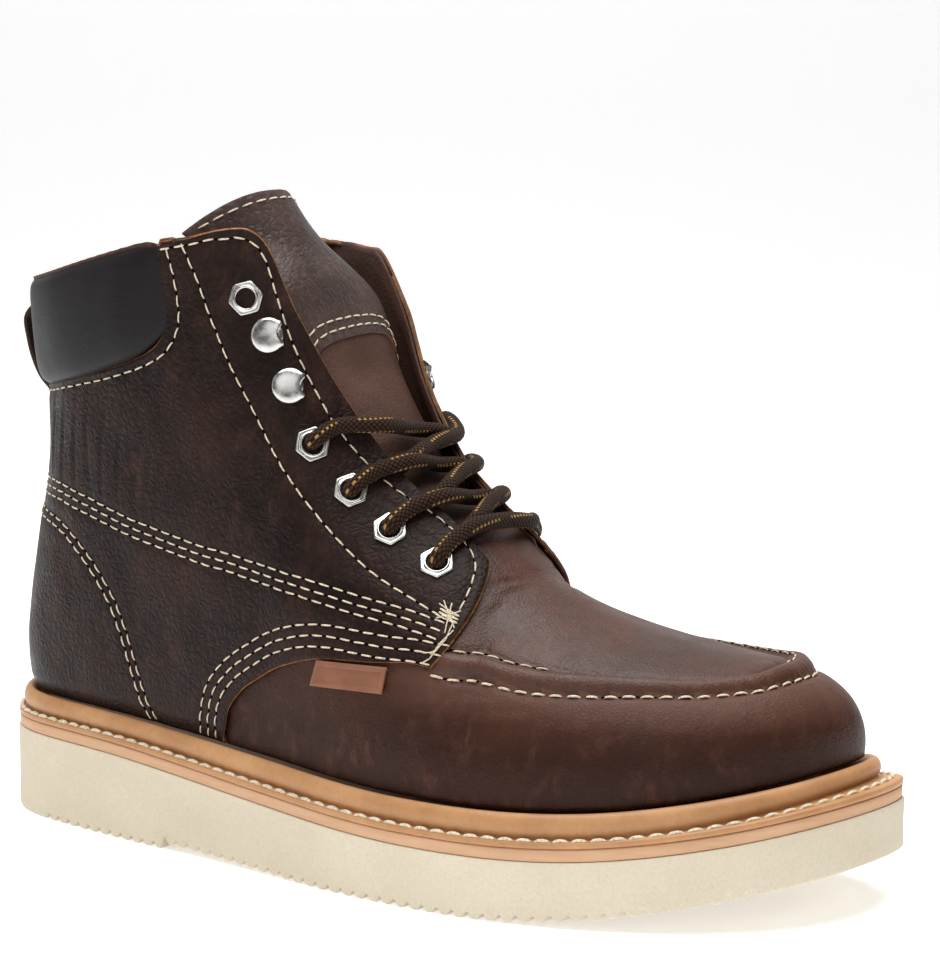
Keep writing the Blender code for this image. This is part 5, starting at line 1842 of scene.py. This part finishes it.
def welt_profile(share, side):
    """The welt's section: a flat lip with a sewing channel, and a round bead against the upper."""
    lip, out = edge_point(side, share, LIP_INSET)
    wall, out = edge_point(side, share, float(upper_inset(share)) - GAP)
    base = float(midsole_top(lip[0])) + WELT_SEAT
    top = base + LIP_FACE
    bead = float(height("bead", wall[0]))
    across = np.linalg.norm(lip - wall)
    wide = min(BEAD_WIDTH, BEAD_SHARE * across)
    channel = wide + CHANNEL_AT * (across - wide)
    profile = []
    parts = [(LIP_FOOT, across, base), (LIP_EDGE, across, top)]
    parts += [(LIP_CHANNEL, channel, top), (LIP_BACK, wide, top)]
    for offsets, mark, level in parts:
        profile += [(mark + aside, level + up) for aside, up in offsets]
    radius = wide / 2
    tall = BEAD_TALL * (bead - top)
    for angle in np.radians(BEAD_ANGLES):
        profile.append((radius + radius * np.cos(angle), bead - tall + tall * np.sin(angle)))
    profile += [(0.0, bead - radius), (0.0, base)]
    return wall, out, profile, channel, top


def build_welt():
    ring = []
    seam = []
    shares = sole_shares(340)
    for side, run in ((-1, shares[:-1]), (1, shares[:0:-1])):
        for share in run:
            wall, out, profile, channel, top = welt_profile(float(share), side)
            ring.append([(*(wall + out * reach), z) for reach, z in profile])
            seam.append((*(wall + out * channel), top - 0.1))
    return loft("welt_strip", ring, [WELT], closed=True), np.array(seam)


def build_waist_frame():
    """The rim of the recess under the waist."""
    half = np.array(WAIST_PANEL) / 2 + WAIST_RIM_OUT
    base = float(underside(np.array(WAIST_PANEL_AT[0])))
    profile = [(WAIST_RIM_INNER[0], WAIST_PANEL_TOP + WAIST_RIM_INNER[1])]
    profile += [(out, base + up) for out, up in WAIST_RIM_TREAD] + [WAIST_RIM_TOP]
    ring = []
    for turn in range(4):
        start = turn * RIGHT_TURN
        for angle in np.linspace(start, start + RIGHT_TURN, 6):
            way = np.array((np.cos(angle), np.sin(angle)))
            middle = start + RIGHT_TURN / 2
            corner = np.sign((np.cos(middle), np.sin(middle))) * (half - WAIST_CORNER)
            centre = np.array(WAIST_PANEL_AT) + corner
            ring.append([(*(centre + way * (WAIST_CORNER + out)), z) for out, z in profile])
    return loft("waist_frame", ring, [RUBBER], closed=True)


def seat(side, share, rise, lift):
    """A frame on the quarter's face: z out of the leather, x along the boot."""
    normal = rib_normal(side, share, rise)
    along = rib_point(side, share + 0.01, rise) - rib_point(side, share - 0.01, rise)
    along = unit(along - normal * (along @ normal))
    across = np.cross(normal, along)
    place = rib_point(side, share, rise) + normal * (QUARTER_FACE + lift)
    return place, np.stack([along, across, normal])


def ring_at(radius, turn, z):
    """A ring of points at one height."""
    return np.column_stack([radius * np.cos(turn), radius * np.sin(turn), turn * 0 + z])


def eyelet_form():
    """A six-sided plate with a rolled ring round its bore and a barrel below, as rings of points."""
    turn = np.linspace(0, 2 * np.pi, EYELET_AROUND, endpoint=False)
    sixth = np.pi / 3
    flat = EYELET_ACROSS / 2 / np.cos((turn % sixth) - sixth / 2)
    soft = np.minimum(flat, EYELET_ACROSS / 2 * EYELET_BLUNT)
    rings = []
    for scale, z in EYELET_PLATE:
        rings.append(ring_at(soft * scale, turn, z))
    for wall, z in EYELET_BARREL:
        rings.append(ring_at(EYELET_BORE + wall, turn, z))
    return np.array(rings)


def hook_form():
    """A domed head on a neck and a round foot, as rings of points."""
    turn = np.linspace(0, 2 * np.pi, HOOK_AROUND, endpoint=False)
    turn = turn - np.pi
    horns = HOOK_HORN * bell(abs(turn) - HOOK_HORN_AT, HOOK_HORN_WIDTH)
    bite = HOOK_BITE * bell(turn, HOOK_BITE_WIDTH) - horns
    rings = []
    for scale, climb in HOOK_PROFILE:
        reach = scale * HOOK_RADIUS * (1 - bite * (climb > HOOK_HEAD) * scale**3)
        rings.append(ring_at(reach, turn, climb * HOOK_HEIGHT))
    return np.array(rings)


def build_fittings(kind, form, name, lift, closed):
    """Every eyelet or hook of the boot as one piece."""
    points = []
    faces = []
    nodes = []
    for side in SIDES:
        for row in records(FITTINGS, FITTING_COLUMNS):
            if not row["name"].startswith(kind):
                continue
            place, axes = seat(side, row["share"], row["rise"], lift)
            start = len(points) * form.shape[0] * form.shape[1]
            if closed:
                faces += grid_faces(*form.shape[:2], start, True, True).tolist()
            else:
                faces += tube_faces(*form.shape[:2], start)
            angle = -side * np.radians(row["turn"])
            x, y, z = form.reshape(-1, 3).T
            cos, sin = np.cos(angle), np.sin(angle)
            turned = np.stack([x * cos - y * sin, x * sin + y * cos, z], -1)
            points.append(place + turned @ axes)
            nodes.append(row["name"].format(SIDE_LABELS[side]))
    made = mesh_piece(name, np.vstack(points), faces, [NICKEL])
    return dress(made, "nickel", *nodes)


def build_tag():
    """The bare rubber tag: a flat plate with a raised rim round a sunk field."""
    along = np.linspace(0, 1, 65)[:, None, None]
    down = np.linspace(0, 1, 33)[None, :, None]
    share, rise = np.array(TAG_CORNERS).T
    top_back, top_front, low_front, low_back = rib_point(-1, share, rise)
    top = top_back + along * (top_front - top_back)
    low = low_back + along * (low_front - low_back)
    face = top + down * (low - top)
    out = unit(np.cross(top_front - top_back, top_back - low_back))
    out = out * np.sign(out @ rib_normal(-1, share.mean(), rise.mean()))
    ends = np.minimum(along, 1 - along) * np.linalg.norm(top_front - top_back)
    sides = np.minimum(down, 1 - down) * np.linalg.norm(top_back - low_back)
    edge = np.minimum(ends, sides)
    rim = TAG_ROUND * (ease(edge / TAG_ROUND) - 1) - TAG_SUNK * ease((edge - TAG_RIM) / TAG_ROUND)
    grid = face + out * (TAG_STAND + TAG_THICK + rim)
    made = open_sheet("tag", grid, np.broadcast_to(out, grid.shape), [TAG])
    return thicken(made, TAG_THICK)


def build_loop():
    """The leather pull loop behind the collar."""
    rises = np.linspace(0.5, 1.0, 80)
    heel = rib_point(-1, 0.0, rises)
    path = []
    for row in records(LOOP_PATH, LOOP_COLUMNS):
        path.append((np.interp(row["z"], heel[:, 2], heel[:, 0]) - row["off"], row["z"]))
    path = smooth_run(path, 61)
    width = np.linspace(-0.5, 0.5, 15) * LOOP_WIDTH
    dish = 0.5 * (2 * width / LOOP_WIDTH) ** 2
    along = unit(np.gradient(path, axis=0))
    out = np.stack([-along[:, 1], along[:, 0]], -1)
    middle = path[:, None] + out[:, None] * (LOOP_THICK / 2 - dish[None, :, None])
    grid = np.stack([middle[..., 0], np.broadcast_to(width, middle.shape[:2]), middle[..., 1]], -1)
    facing = np.stack([out[:, 0], 0 * out[:, 0], out[:, 1]], -1)[:, None] * np.ones((1, 15, 1))
    made = open_sheet("pull_strap", grid, facing, [LEATHER])
    return thicken(made, LOOP_THICK, 0.25)


def throat_point(share, across, lift):
    """A place over the throat: across is -1 and 1 at its edges, -2 and 2 at the eyelets."""
    edges = [rib_point(side, share, 1.0) for side in SIDES]
    along = rib_point(-1, share - NEAR, 1.0) - rib_point(-1, share + NEAR, 1.0)
    straight = unit(np.cross(edges[1] - edges[0], along))
    straight = straight * np.sign(straight[2])
    side = -1 if across < 0 else 1
    beyond = max(abs(across) - 1, 0.0)
    rise = 1.0 - (1.0 - EYELET_RISE) * beyond
    if beyond:
        base = rib_point(side, share, rise)
    else:
        base = edges[0] + (across + 1) / 2 * (edges[1] - edges[0])
    lean = ease(abs(across) - 0.5)
    out = (1 - lean) * straight + lean * rib_normal(side, share, rise)
    return base + unit(out) * lift


def lace_path(side, share, edge, far, reach, mid_lift, end_lift):
    """A lace from inside its own eyelet, over the flap's edge, across the throat and under the far flap."""
    start = edge + (LACE_START - 1) * (share - edge)
    stops = [(share, 2.0, lift) for lift in LACE_RISES]
    near = LACE_LIFTS[side]
    stops += [(start, LACE_START, near), (edge, 1.0, near), ((edge + far) / 2, 0.0, mid_lift)]
    if reach > 1:
        stops += [(far, -1.0, LACE_LIFTS[-side]), (start, -reach, end_lift)]
        stops += [(share, -2.0, lift) for lift in LACE_RISES[::-1]]
    else:
        stops.append((far, -reach, end_lift))
        stops += [(far, -across, lift) for across, lift in LACE_DIVE]
    points = [throat_point(at, side * across, lift) for at, across, lift in stops]
    coarse = smooth_run(points, 120)
    return resample(coarse, int(run_length(coarse) / LACE_STEP))


def cord_grid(path, radius, around):
    """Rings of points round a path, carried along it without twist."""
    along = unit(np.gradient(path, axis=0))
    side = unit(np.cross(along[0], (0.0, 0.0, 1.0)))
    turn = np.linspace(0, 2 * np.pi, around, endpoint=False)
    rings = []
    for place, way in zip(path, along):
        side = unit(side - way * (side @ way))
        up = np.cross(way, side)
        rings.append(place + radius * (np.cos(turn)[:, None] * side + np.sin(turn)[:, None] * up))
    return np.array(rings)


def build_lace():
    """The lace over the throat, with the length and the turn of each point kept for the braid."""
    points = []
    faces = []
    lengths = []
    turns = []
    total = 0
    for row in records(LACES, LACE_COLUMNS):
        path = lace_path(**row)
        rings = cord_grid(path, LACE_RADIUS, LACE_AROUND)
        count = len(rings)
        faces += tube_faces(count, LACE_AROUND, total)
        points.append(rings.reshape(-1, 3))
        lengths.append(np.repeat(np.arange(count) * LACE_STEP, LACE_AROUND))
        turns.append(np.tile(np.arange(LACE_AROUND) / LACE_AROUND, count))
        total += count * LACE_AROUND
    values = {"length": np.concatenate(lengths), "turn": np.concatenate(turns)}
    made = mesh_piece("lace", np.vstack(points), faces, [BRAID], values)
    braid_map(made)
    return made


def braid_map(obj):
    """A UV map from each point's length along the lace and its turn round it."""
    mesh = obj.data
    corners = gathered(mesh.loops, "vertex_index", kind=np.int32)
    labels = ("length", "turn")
    length, turn = (gathered(mesh.attributes[label].data, "value")[corners] for label in labels)
    for face in mesh.polygons:
        span = slice(face.loop_start, face.loop_start + face.loop_total)
        if np.ptp(turn[span]) > 0.5:
            turn[span] += turn[span] < 0.5
    layer = mesh.uv_layers.new(name="braid")
    layer.data.foreach_set("uv", np.stack([length, turn], 1).ravel())


def stitch_form(name, length, width, rise, sink):
    """One visible stitch: a short arched thread that dips into the leather at both ends."""
    along = np.linspace(-1, 1, 6)
    turn = np.linspace(0, 2 * np.pi, 6, endpoint=False)
    rings = []
    for k in along:
        fat = width / 2 * (1 - 0.45 * abs(k) ** 3)
        z = rise * (1 - k * k) - sink * k**4
        ring = [(k * length / 2, fat * np.cos(a), z + 0.8 * fat * np.sin(a)) for a in turn]
        rings.append(ring)
    rings = np.array(rings) * MM
    faces = tube_faces(len(along), len(turn))
    mesh = bpy.data.meshes.new(name)
    mesh.from_pydata(rings.reshape(-1, 3).tolist(), [], faces)
    work = bmesh.new()
    work.from_mesh(mesh)
    bmesh.ops.recalc_face_normals(work, faces=work.faces)
    work.to_mesh(mesh)
    work.free()
    mesh.shade_smooth()
    return bpy.data.objects.new(name, mesh)


ROW_INPUTS = [
    ("Geometry", "Geometry"),
    ("Form", "Object"),
    ("Pitch", "Float"),
    ("Sway", "Float"),
    ("Seed", "Int"),
    ("Finish", "Material"),
]
ROW_NODES = [
    ("inputs", "NodeGroupInput", {}),
    ("runs", "GeometryNodeMeshToCurve", {}),
    ("spread", "GeometryNodeResampleCurve", {"mode": "LENGTH"}),
    ("normal", "GeometryNodeInputNamedAttribute", {"data_type": "FLOAT_VECTOR"}),
    ("tangent", "GeometryNodeInputTangent", {}),
    ("along", "FunctionNodeAlignRotationToVector", {"axis": "X"}),
    ("upright", "FunctionNodeAlignRotationToVector", {"axis": "Z", "pivot_axis": "X"}),
    ("minus", "ShaderNodeMath", {"operation": "MULTIPLY"}),
    ("low", "ShaderNodeCombineXYZ", {}),
    ("high", "ShaderNodeCombineXYZ", {}),
    ("sway", "FunctionNodeRandomValue", {"data_type": "FLOAT_VECTOR"}),
    ("to_turn", "FunctionNodeEulerToRotation", {}),
    ("turn", "FunctionNodeRotateRotation", {"rotation_space": "LOCAL"}),
    ("form", "GeometryNodeObjectInfo", {}),
    ("lay", "GeometryNodeInstanceOnPoints", {}),
    ("real", "GeometryNodeRealizeInstances", {}),
    ("finish", "GeometryNodeSetMaterial", {}),
    ("out", "NodeGroupOutput", {}),
]
ROW_LINKS = [
    ("inputs", "Geometry", "runs", "Mesh"),
    ("runs", "Curve", "spread", "Curve"),
    ("inputs", "Pitch", "spread", "Length"),
    ("tangent", "Tangent", "along", "Vector"),
    ("along", "Rotation", "upright", "Rotation"),
    ("normal", "Attribute", "upright", "Vector"),
    ("inputs", "Sway", "minus", 0),
    ("minus", "Value", "low", "Z"),
    ("inputs", "Sway", "high", "Z"),
    ("low", "Vector", "sway", "Min"),
    ("high", "Vector", "sway", "Max"),
    ("inputs", "Seed", "sway", "Seed"),
    ("sway", "Value", "to_turn", "Euler"),
    ("upright", "Rotation", "turn", "Rotation"),
    ("to_turn", "Rotation", "turn", "Rotate By"),
    ("inputs", "Form", "form", "Object"),
    ("spread", "Curve", "lay", "Points"),
    ("form", "Geometry", "lay", "Instance"),
    ("turn", "Rotation", "lay", "Rotation"),
    ("lay", "Instances", "real", "Geometry"),
    ("real", "Geometry", "finish", "Geometry"),
    ("inputs", "Finish", "finish", "Material"),
    ("finish", "Geometry", "out", "Geometry"),
]


def row_tree():
    """Geometry nodes that lay one form along every run of a mesh of edges, upright on its normals."""
    tree = bpy.data.node_groups.new("sewn_row", "GeometryNodeTree")
    for label, kind in ROW_INPUTS:
        tree.interface.new_socket(label, in_out="INPUT", socket_type="NodeSocket" + kind)
    tree.interface.new_socket("Geometry", in_out="OUTPUT", socket_type="NodeSocketGeometry")
    nodes = {}
    for label, kind, settings in ROW_NODES:
        nodes[label] = tree.nodes.new(kind)
        for setting, value in settings.items():
            setattr(nodes[label], setting, value)
    nodes["normal"].inputs["Name"].default_value = "upright"
    nodes["minus"].inputs[1].default_value = -1.0
    for start, output, end, entry in ROW_LINKS:
        tree.links.new(nodes[start].outputs[output], nodes[end].inputs[entry])
    return tree


def sewn(name, runs, form, pitch, sway, finish, seed=3):
    """A piece with the form repeated along runs of (points, normals)."""
    mesh = bpy.data.meshes.new(name)
    points = np.vstack([run for run, _ in runs])
    edges = []
    start = 0
    for run, _ in runs:
        edges += [(start + i, start + i + 1) for i in range(len(run) - 1)]
        start += len(run)
    mesh.from_pydata(to_scene(points).tolist(), edges, [])
    layer = mesh.attributes.new("upright", "FLOAT_VECTOR", "POINT")
    layer.data.foreach_set("vector", np.vstack([normal for _, normal in runs]).astype(np.float32).ravel())
    obj = link(bpy.data.objects.new(name, mesh))
    modifier = obj.modifiers.new("sewn_row", "NODES")
    modifier.node_group = ROW_TREE
    settings = {"Form": form, "Pitch": pitch * MM, "Sway": sway, "Seed": seed, "Finish": finish}
    for socket in ROW_TREE.interface.items_tree:
        if socket.in_out == "INPUT" and socket.name in settings:
            modifier[socket.identifier] = settings[socket.name]
    made = finished(obj)
    made.data.materials.clear()
    made.data.materials.append(finish)
    return made


ROW_TREE = row_tree()


def on_quarter(lift):
    """Every row of the quarters as points on the leather and the directions out of it."""
    runs = []
    for side in SIDES:
        for row in ROWS[side]:
            runs.append((quarter_point(side, *row.T, lift - SEWN_PULL), skin_normal(side, *row.T)))
    return runs


def on_vamp(lift):
    """The rows along the toe seam: the outer one round the toe, and the inner one where it isn't sunk in."""
    runs = []
    for stops in MOC_RUNS:
        points = []
        normals = []
        for row in records(stops, MOC_RUN_COLUMNS):
            count = int(abs(row["to"] - row["start"]) * EDGE_UNITS[0] / 0.8)
            run = np.linspace(row["start"], row["to"], count)
            rise = column(MOC, MOC_NAMES, row["line"], run) + row["nudge"]
            points.append(vamp_point(row["side"], run, rise, lift))
            normals.append(skin_normal(row["side"], run, rise))
        runs.append((np.vstack(points), np.vstack(normals)))
    return runs


def settled(runs, obj, lift):
    """Runs laid onto the object's face, and lifted off it by the given millimetres."""
    mesh = obj.data
    tree = BVHTree.FromPolygons([v.co for v in mesh.vertices], [face.vertices for face in mesh.polygons])
    laid = []
    for points, normals in runs:
        places = points.copy()
        for index, (spot, normal) in enumerate(zip(to_scene(points), normals)):
            start = Vector(spot) + Vector(normal) * SETTLE_FROM * MM
            hit = tree.ray_cast(start, -Vector(normal), 2 * SETTLE_FROM * MM)[3]
            if hit is not None:
                places[index] += normal * (SETTLE_FROM - hit / MM + lift)
        laid.append((rounded(places, 2), normals))
    return laid


def between(runs, pitch):
    """The same runs cut back by half a stitch at both ends, so that a form lands between the stitches."""
    cut = []
    for points, normals in runs:
        at = distances(points)
        count = max(int(at[-1] / pitch), 1)
        half = at[-1] / count / 2
        reads = np.linspace(half, at[-1] - half, max(len(points), 3))
        cut.append((read_along(points, at, reads), unit(read_along(normals, at, reads))))
    return cut


def build_bartack(side):
    """The thick knot of thread over the quarter's front corner, and its loose end below."""
    zig = np.arange(BARTACK_TURNS)
    share = BARTACK_AT[0] + BARTACK_SIZE[0] * (zig % 2)
    rise = BARTACK_AT[1] - BARTACK_SIZE[1] * zig / BARTACK_TURNS
    runs = [np.stack([share, rise], -1)]
    for turn in BARTACK_CROSSES:
        runs.append(np.array(turn))
    sections = []
    faces = []
    total = 0
    for run in runs:
        fine = resample(run * EDGE_UNITS, 8 * len(run)) / EDGE_UNITS
        lift = BARTACK_LIFT + 0.25 * np.sin(np.arange(len(fine)) * 1.3)
        path = rounded(quarter_point(side, *fine.T, lift), 2)
        rings = cord_grid(path, BARTACK_RADIUS, BARTACK_AROUND)
        faces += tube_faces(len(rings), BARTACK_AROUND, total)
        sections.append(rings.reshape(-1, 3))
        total += BARTACK_AROUND * len(rings)
    return np.vstack(sections), faces


def build_back_strip():
    """The narrow strip that covers the seam up the middle of the heel."""
    rise = np.linspace(*BACK_RISES, BACK_COUNTS[0])
    across = np.linspace(0.0, BACK_STRIP, BACK_COUNTS[1])
    left = quarter_point(-1, across[None, ::-1], rise[:, None], BACK_LIFT)
    right = quarter_point(1, across[None, 1:], rise[:, None], BACK_LIFT)
    grid = np.concatenate([left, right], 1)
    outward = np.broadcast_to((-1.0, 0.0, 0.0), grid.shape)
    return thicken(open_sheet("back_strip", grid, outward, [LEATHER]), BACK_LIFT, 0.2)


ROWS = {side: quarter_rows(side) for side in SIDES}

quarters = dress(build_quarters(), "brown_leather", "upper")
vamp = dress(build_vamp(), "brown_leather", "upper")
lining = dress(build_lining(), "soft_brown_leather", "upper")
collar = dress(build_collar(), "black_leather", "collar_pad")
dress(build_binding(), "soft_brown_leather")
tongue_soft, tongue_panel, panel_grid, panel_out = build_tongue()
dress(tongue_soft, "soft_brown_leather", "tongue")
dress(tongue_panel, "brown_leather", "tongue")
wedge_sole, midsole_strip, sock = build_sole()
dress(wedge_sole, "cream_rubber", "outsole")
dress(midsole_strip, "pink_tan_leather", "midsole")
dress(sock, "sock_fabric", "insole")
dress(build_waist_frame(), "cream_rubber")
welt_strip, welt_seam = build_welt()
dress(welt_strip, "tan_leather", "welt")
build_fittings("eyelet", eyelet_form(), "eyelets", FITTING_LIFT, True)
build_fittings("hook", hook_form(), "hooks", FITTING_LIFT, False)
dress(build_tag(), "tag_rubber", "side_tag")
dress(build_loop(), "brown_leather", "pull_loop")
dress(build_back_strip(), "brown_leather")
dress(build_lace(), "brown_cord", "lace_crossings")

STITCH_COLUMNS = ("name", "length", "width", "rise", "sink")
STITCHES = [
    ("fine_stitch", 3.9, 0.56, 0.24, 0.30),
    ("toe_seam_stitch", 4.3, 0.76, 0.38, 0.45),
    ("welt_stitch", 5.2, 1.5, 0.35, 0.4),
    ("needle_hole", 1.3, 0.54, 0.04, 0.12),
]
FINE_PITCH = 4.75
MOC_PITCH = 5.2
WELT_PITCH = 5.4
ROW_LIFT = 0.12
MOC_ROW_LIFT = 0.20
stitch_forms = [stitch_form(**row) for row in records(STITCHES, STITCH_COLUMNS)]
fine_stitch, moc_stitch, welt_stitch, needle_hole = stitch_forms
quarter_runs = on_quarter(ROW_LIFT)
moc_runs = settled(on_vamp(0.0), vamp, MOC_ROW_LIFT)
dress(sewn("quarter_stitching", quarter_runs, fine_stitch, FINE_PITCH, 0.05, IVORY), "tan_leather")
dress(sewn("toe_seam_stitching", moc_runs[:1], moc_stitch, MOC_PITCH, 0.06, IVORY), "tan_leather")
dress(sewn("plug_stitching", moc_runs[1:], fine_stitch, FINE_PITCH, 0.06, IVORY), "tan_leather")
# Dark discs between the stitches: painted shadow in the needle holes.
hole_shadow_runs = between(quarter_runs + moc_runs[1:], FINE_PITCH) + between(moc_runs[:1], MOC_PITCH)
dress(sewn("needle_holes", hole_shadow_runs, needle_hole, FINE_PITCH, 0.0, NEEDLE_SHADOW), "brown_leather")
loop_run = np.vstack([welt_seam, welt_seam[:1]])
upright = np.tile((0.0, 0.0, 1.0), (len(loop_run), 1))
dress(sewn("welt_stitching", [(loop_run, upright)], welt_stitch, WELT_PITCH, 0.07, IVORY), "tan_leather")
tacks = [build_bartack(side) for side in SIDES]
points = np.vstack([tack[0] for tack in tacks])
faces = tacks[0][1] + [[corner + len(tacks[0][0]) for corner in face] for face in tacks[1][1]]
dress(mesh_piece("bartacks", points, faces, [IVORY]), "tan_leather")


def panel_row(kind, inset):
    """A row along the tongue panel's top or lower edge, and the directions out of it."""
    spot = -1 - inset if kind == "top" else inset
    ends = slice(3, -3)
    return panel_grid[spot, ends] + panel_out[spot, ends] * 0.1, panel_out[spot, ends]


rows = [panel_row("top", 2), panel_row("low", 2), panel_row("low", 4)]
dress(sewn("tongue_stitching", rows, fine_stitch, FINE_PITCH, 0.05, IVORY), "tan_leather")


def floor_and_backdrop():
    """A pale floor that sweeps up behind the boot."""
    profile = [(-2.2, 0.0), (1.6, 0.0), (2.0, 0.06), (2.3, 0.25), (2.45, 0.6), (2.5, 2.4)]
    run = smooth_run([profile[0], (0.0, 0.0), (1.2, 0.0)] + profile[1:], 60)
    turn = np.array(((TOWARDS[0], -TOWARDS[1]), (TOWARDS[1], TOWARDS[0])))
    points = []
    for across in np.linspace(-3.0, 3.0, 9):
        for depth, z in run:
            x, y = turn @ (depth, across)
            points.append((x, y, max(z, 0.0)))
    mesh = bpy.data.meshes.new("studio_sweep")
    mesh.from_pydata(points, [], grid_faces(9, len(run)).tolist())
    mesh.shade_smooth()
    made = Finish("studio_paper", Roughness=0.9, Specular_IOR_Level=0.1)
    made.colour(made.mixed(made.noise(3.0, 2.0), (0.90, 0.90, 0.90), (0.92, 0.92, 0.92)))
    made.give(made.shader, "Emission Color", (1.0, 1.0, 1.0))
    made.give(made.shader, "Emission Strength", 0.41)
    mesh.materials.append(made.material)
    sweep = link(bpy.data.objects.new("studio_sweep", mesh))


def soft_light(name, place, aim, size, power):
    lamp = bpy.data.lights.new(name, "AREA")
    lamp.shape = "RECTANGLE"
    lamp.size, lamp.size_y = size
    lamp.energy = power
    obj = link(bpy.data.objects.new(name, lamp))
    obj.location = place
    obj.rotation_euler = (Vector(aim) - Vector(place)).to_track_quat("-Z", "Y").to_euler()


AZIMUTH = np.radians(33.97)
ELEVATION = np.radians(9.35)
DISTANCE = 0.95505
AIM = np.array((0.0, 0.00083, 0.090))
TOWARDS = np.array((-np.sin(AZIMUTH), np.cos(AZIMUTH)))
PHOTO_WIDTH = 940.0
FOCAL_PIXELS = 3172.34
OFF_CENTRE = (51.32, 78.23)
SENSOR = 36.0

level = np.cos(ELEVATION)
back = np.array((np.sin(AZIMUTH) * level, -np.cos(AZIMUTH) * level, np.sin(ELEVATION)))
lens = bpy.data.cameras.new("camera")
lens.sensor_fit = "HORIZONTAL"
lens.sensor_width = SENSOR
lens.lens = SENSOR * FOCAL_PIXELS / PHOTO_WIDTH
lens.shift_x, lens.shift_y = (off / PHOTO_WIDTH for off in OFF_CENTRE)
lens.clip_start = 0.01
camera = link(bpy.data.objects.new("camera", lens))
camera.location = AIM + back * DISTANCE
camera.rotation_euler = Vector(back).to_track_quat("Z", "Y").to_euler()
bpy.context.scene.camera = camera

floor_and_backdrop()
soft_light("overhead_softbox", (0.0, -0.04, 1.48), (0.0, 0.0, 0.1), (1.5, 1.5), 38.0)
soft_light("front_softbox", (0.5, -1.5, 0.9), (0.0, 0.0, 0.08), (1.2, 0.8), 4.2)
soft_light("left_softbox", (-1.3, -0.7, 0.7), (0.0, 0.0, 0.1), (1.0, 1.0), 2.2)
world = bpy.data.worlds.new("studio")
world.use_nodes = True
world.node_tree.nodes["Background"].inputs["Color"].default_value = (1.0, 1.0, 1.0, 1.0)
world.node_tree.nodes["Background"].inputs["Strength"].default_value = 0.10
bpy.context.scene.world = world
bpy.context.scene.view_settings.view_transform = "Standard"
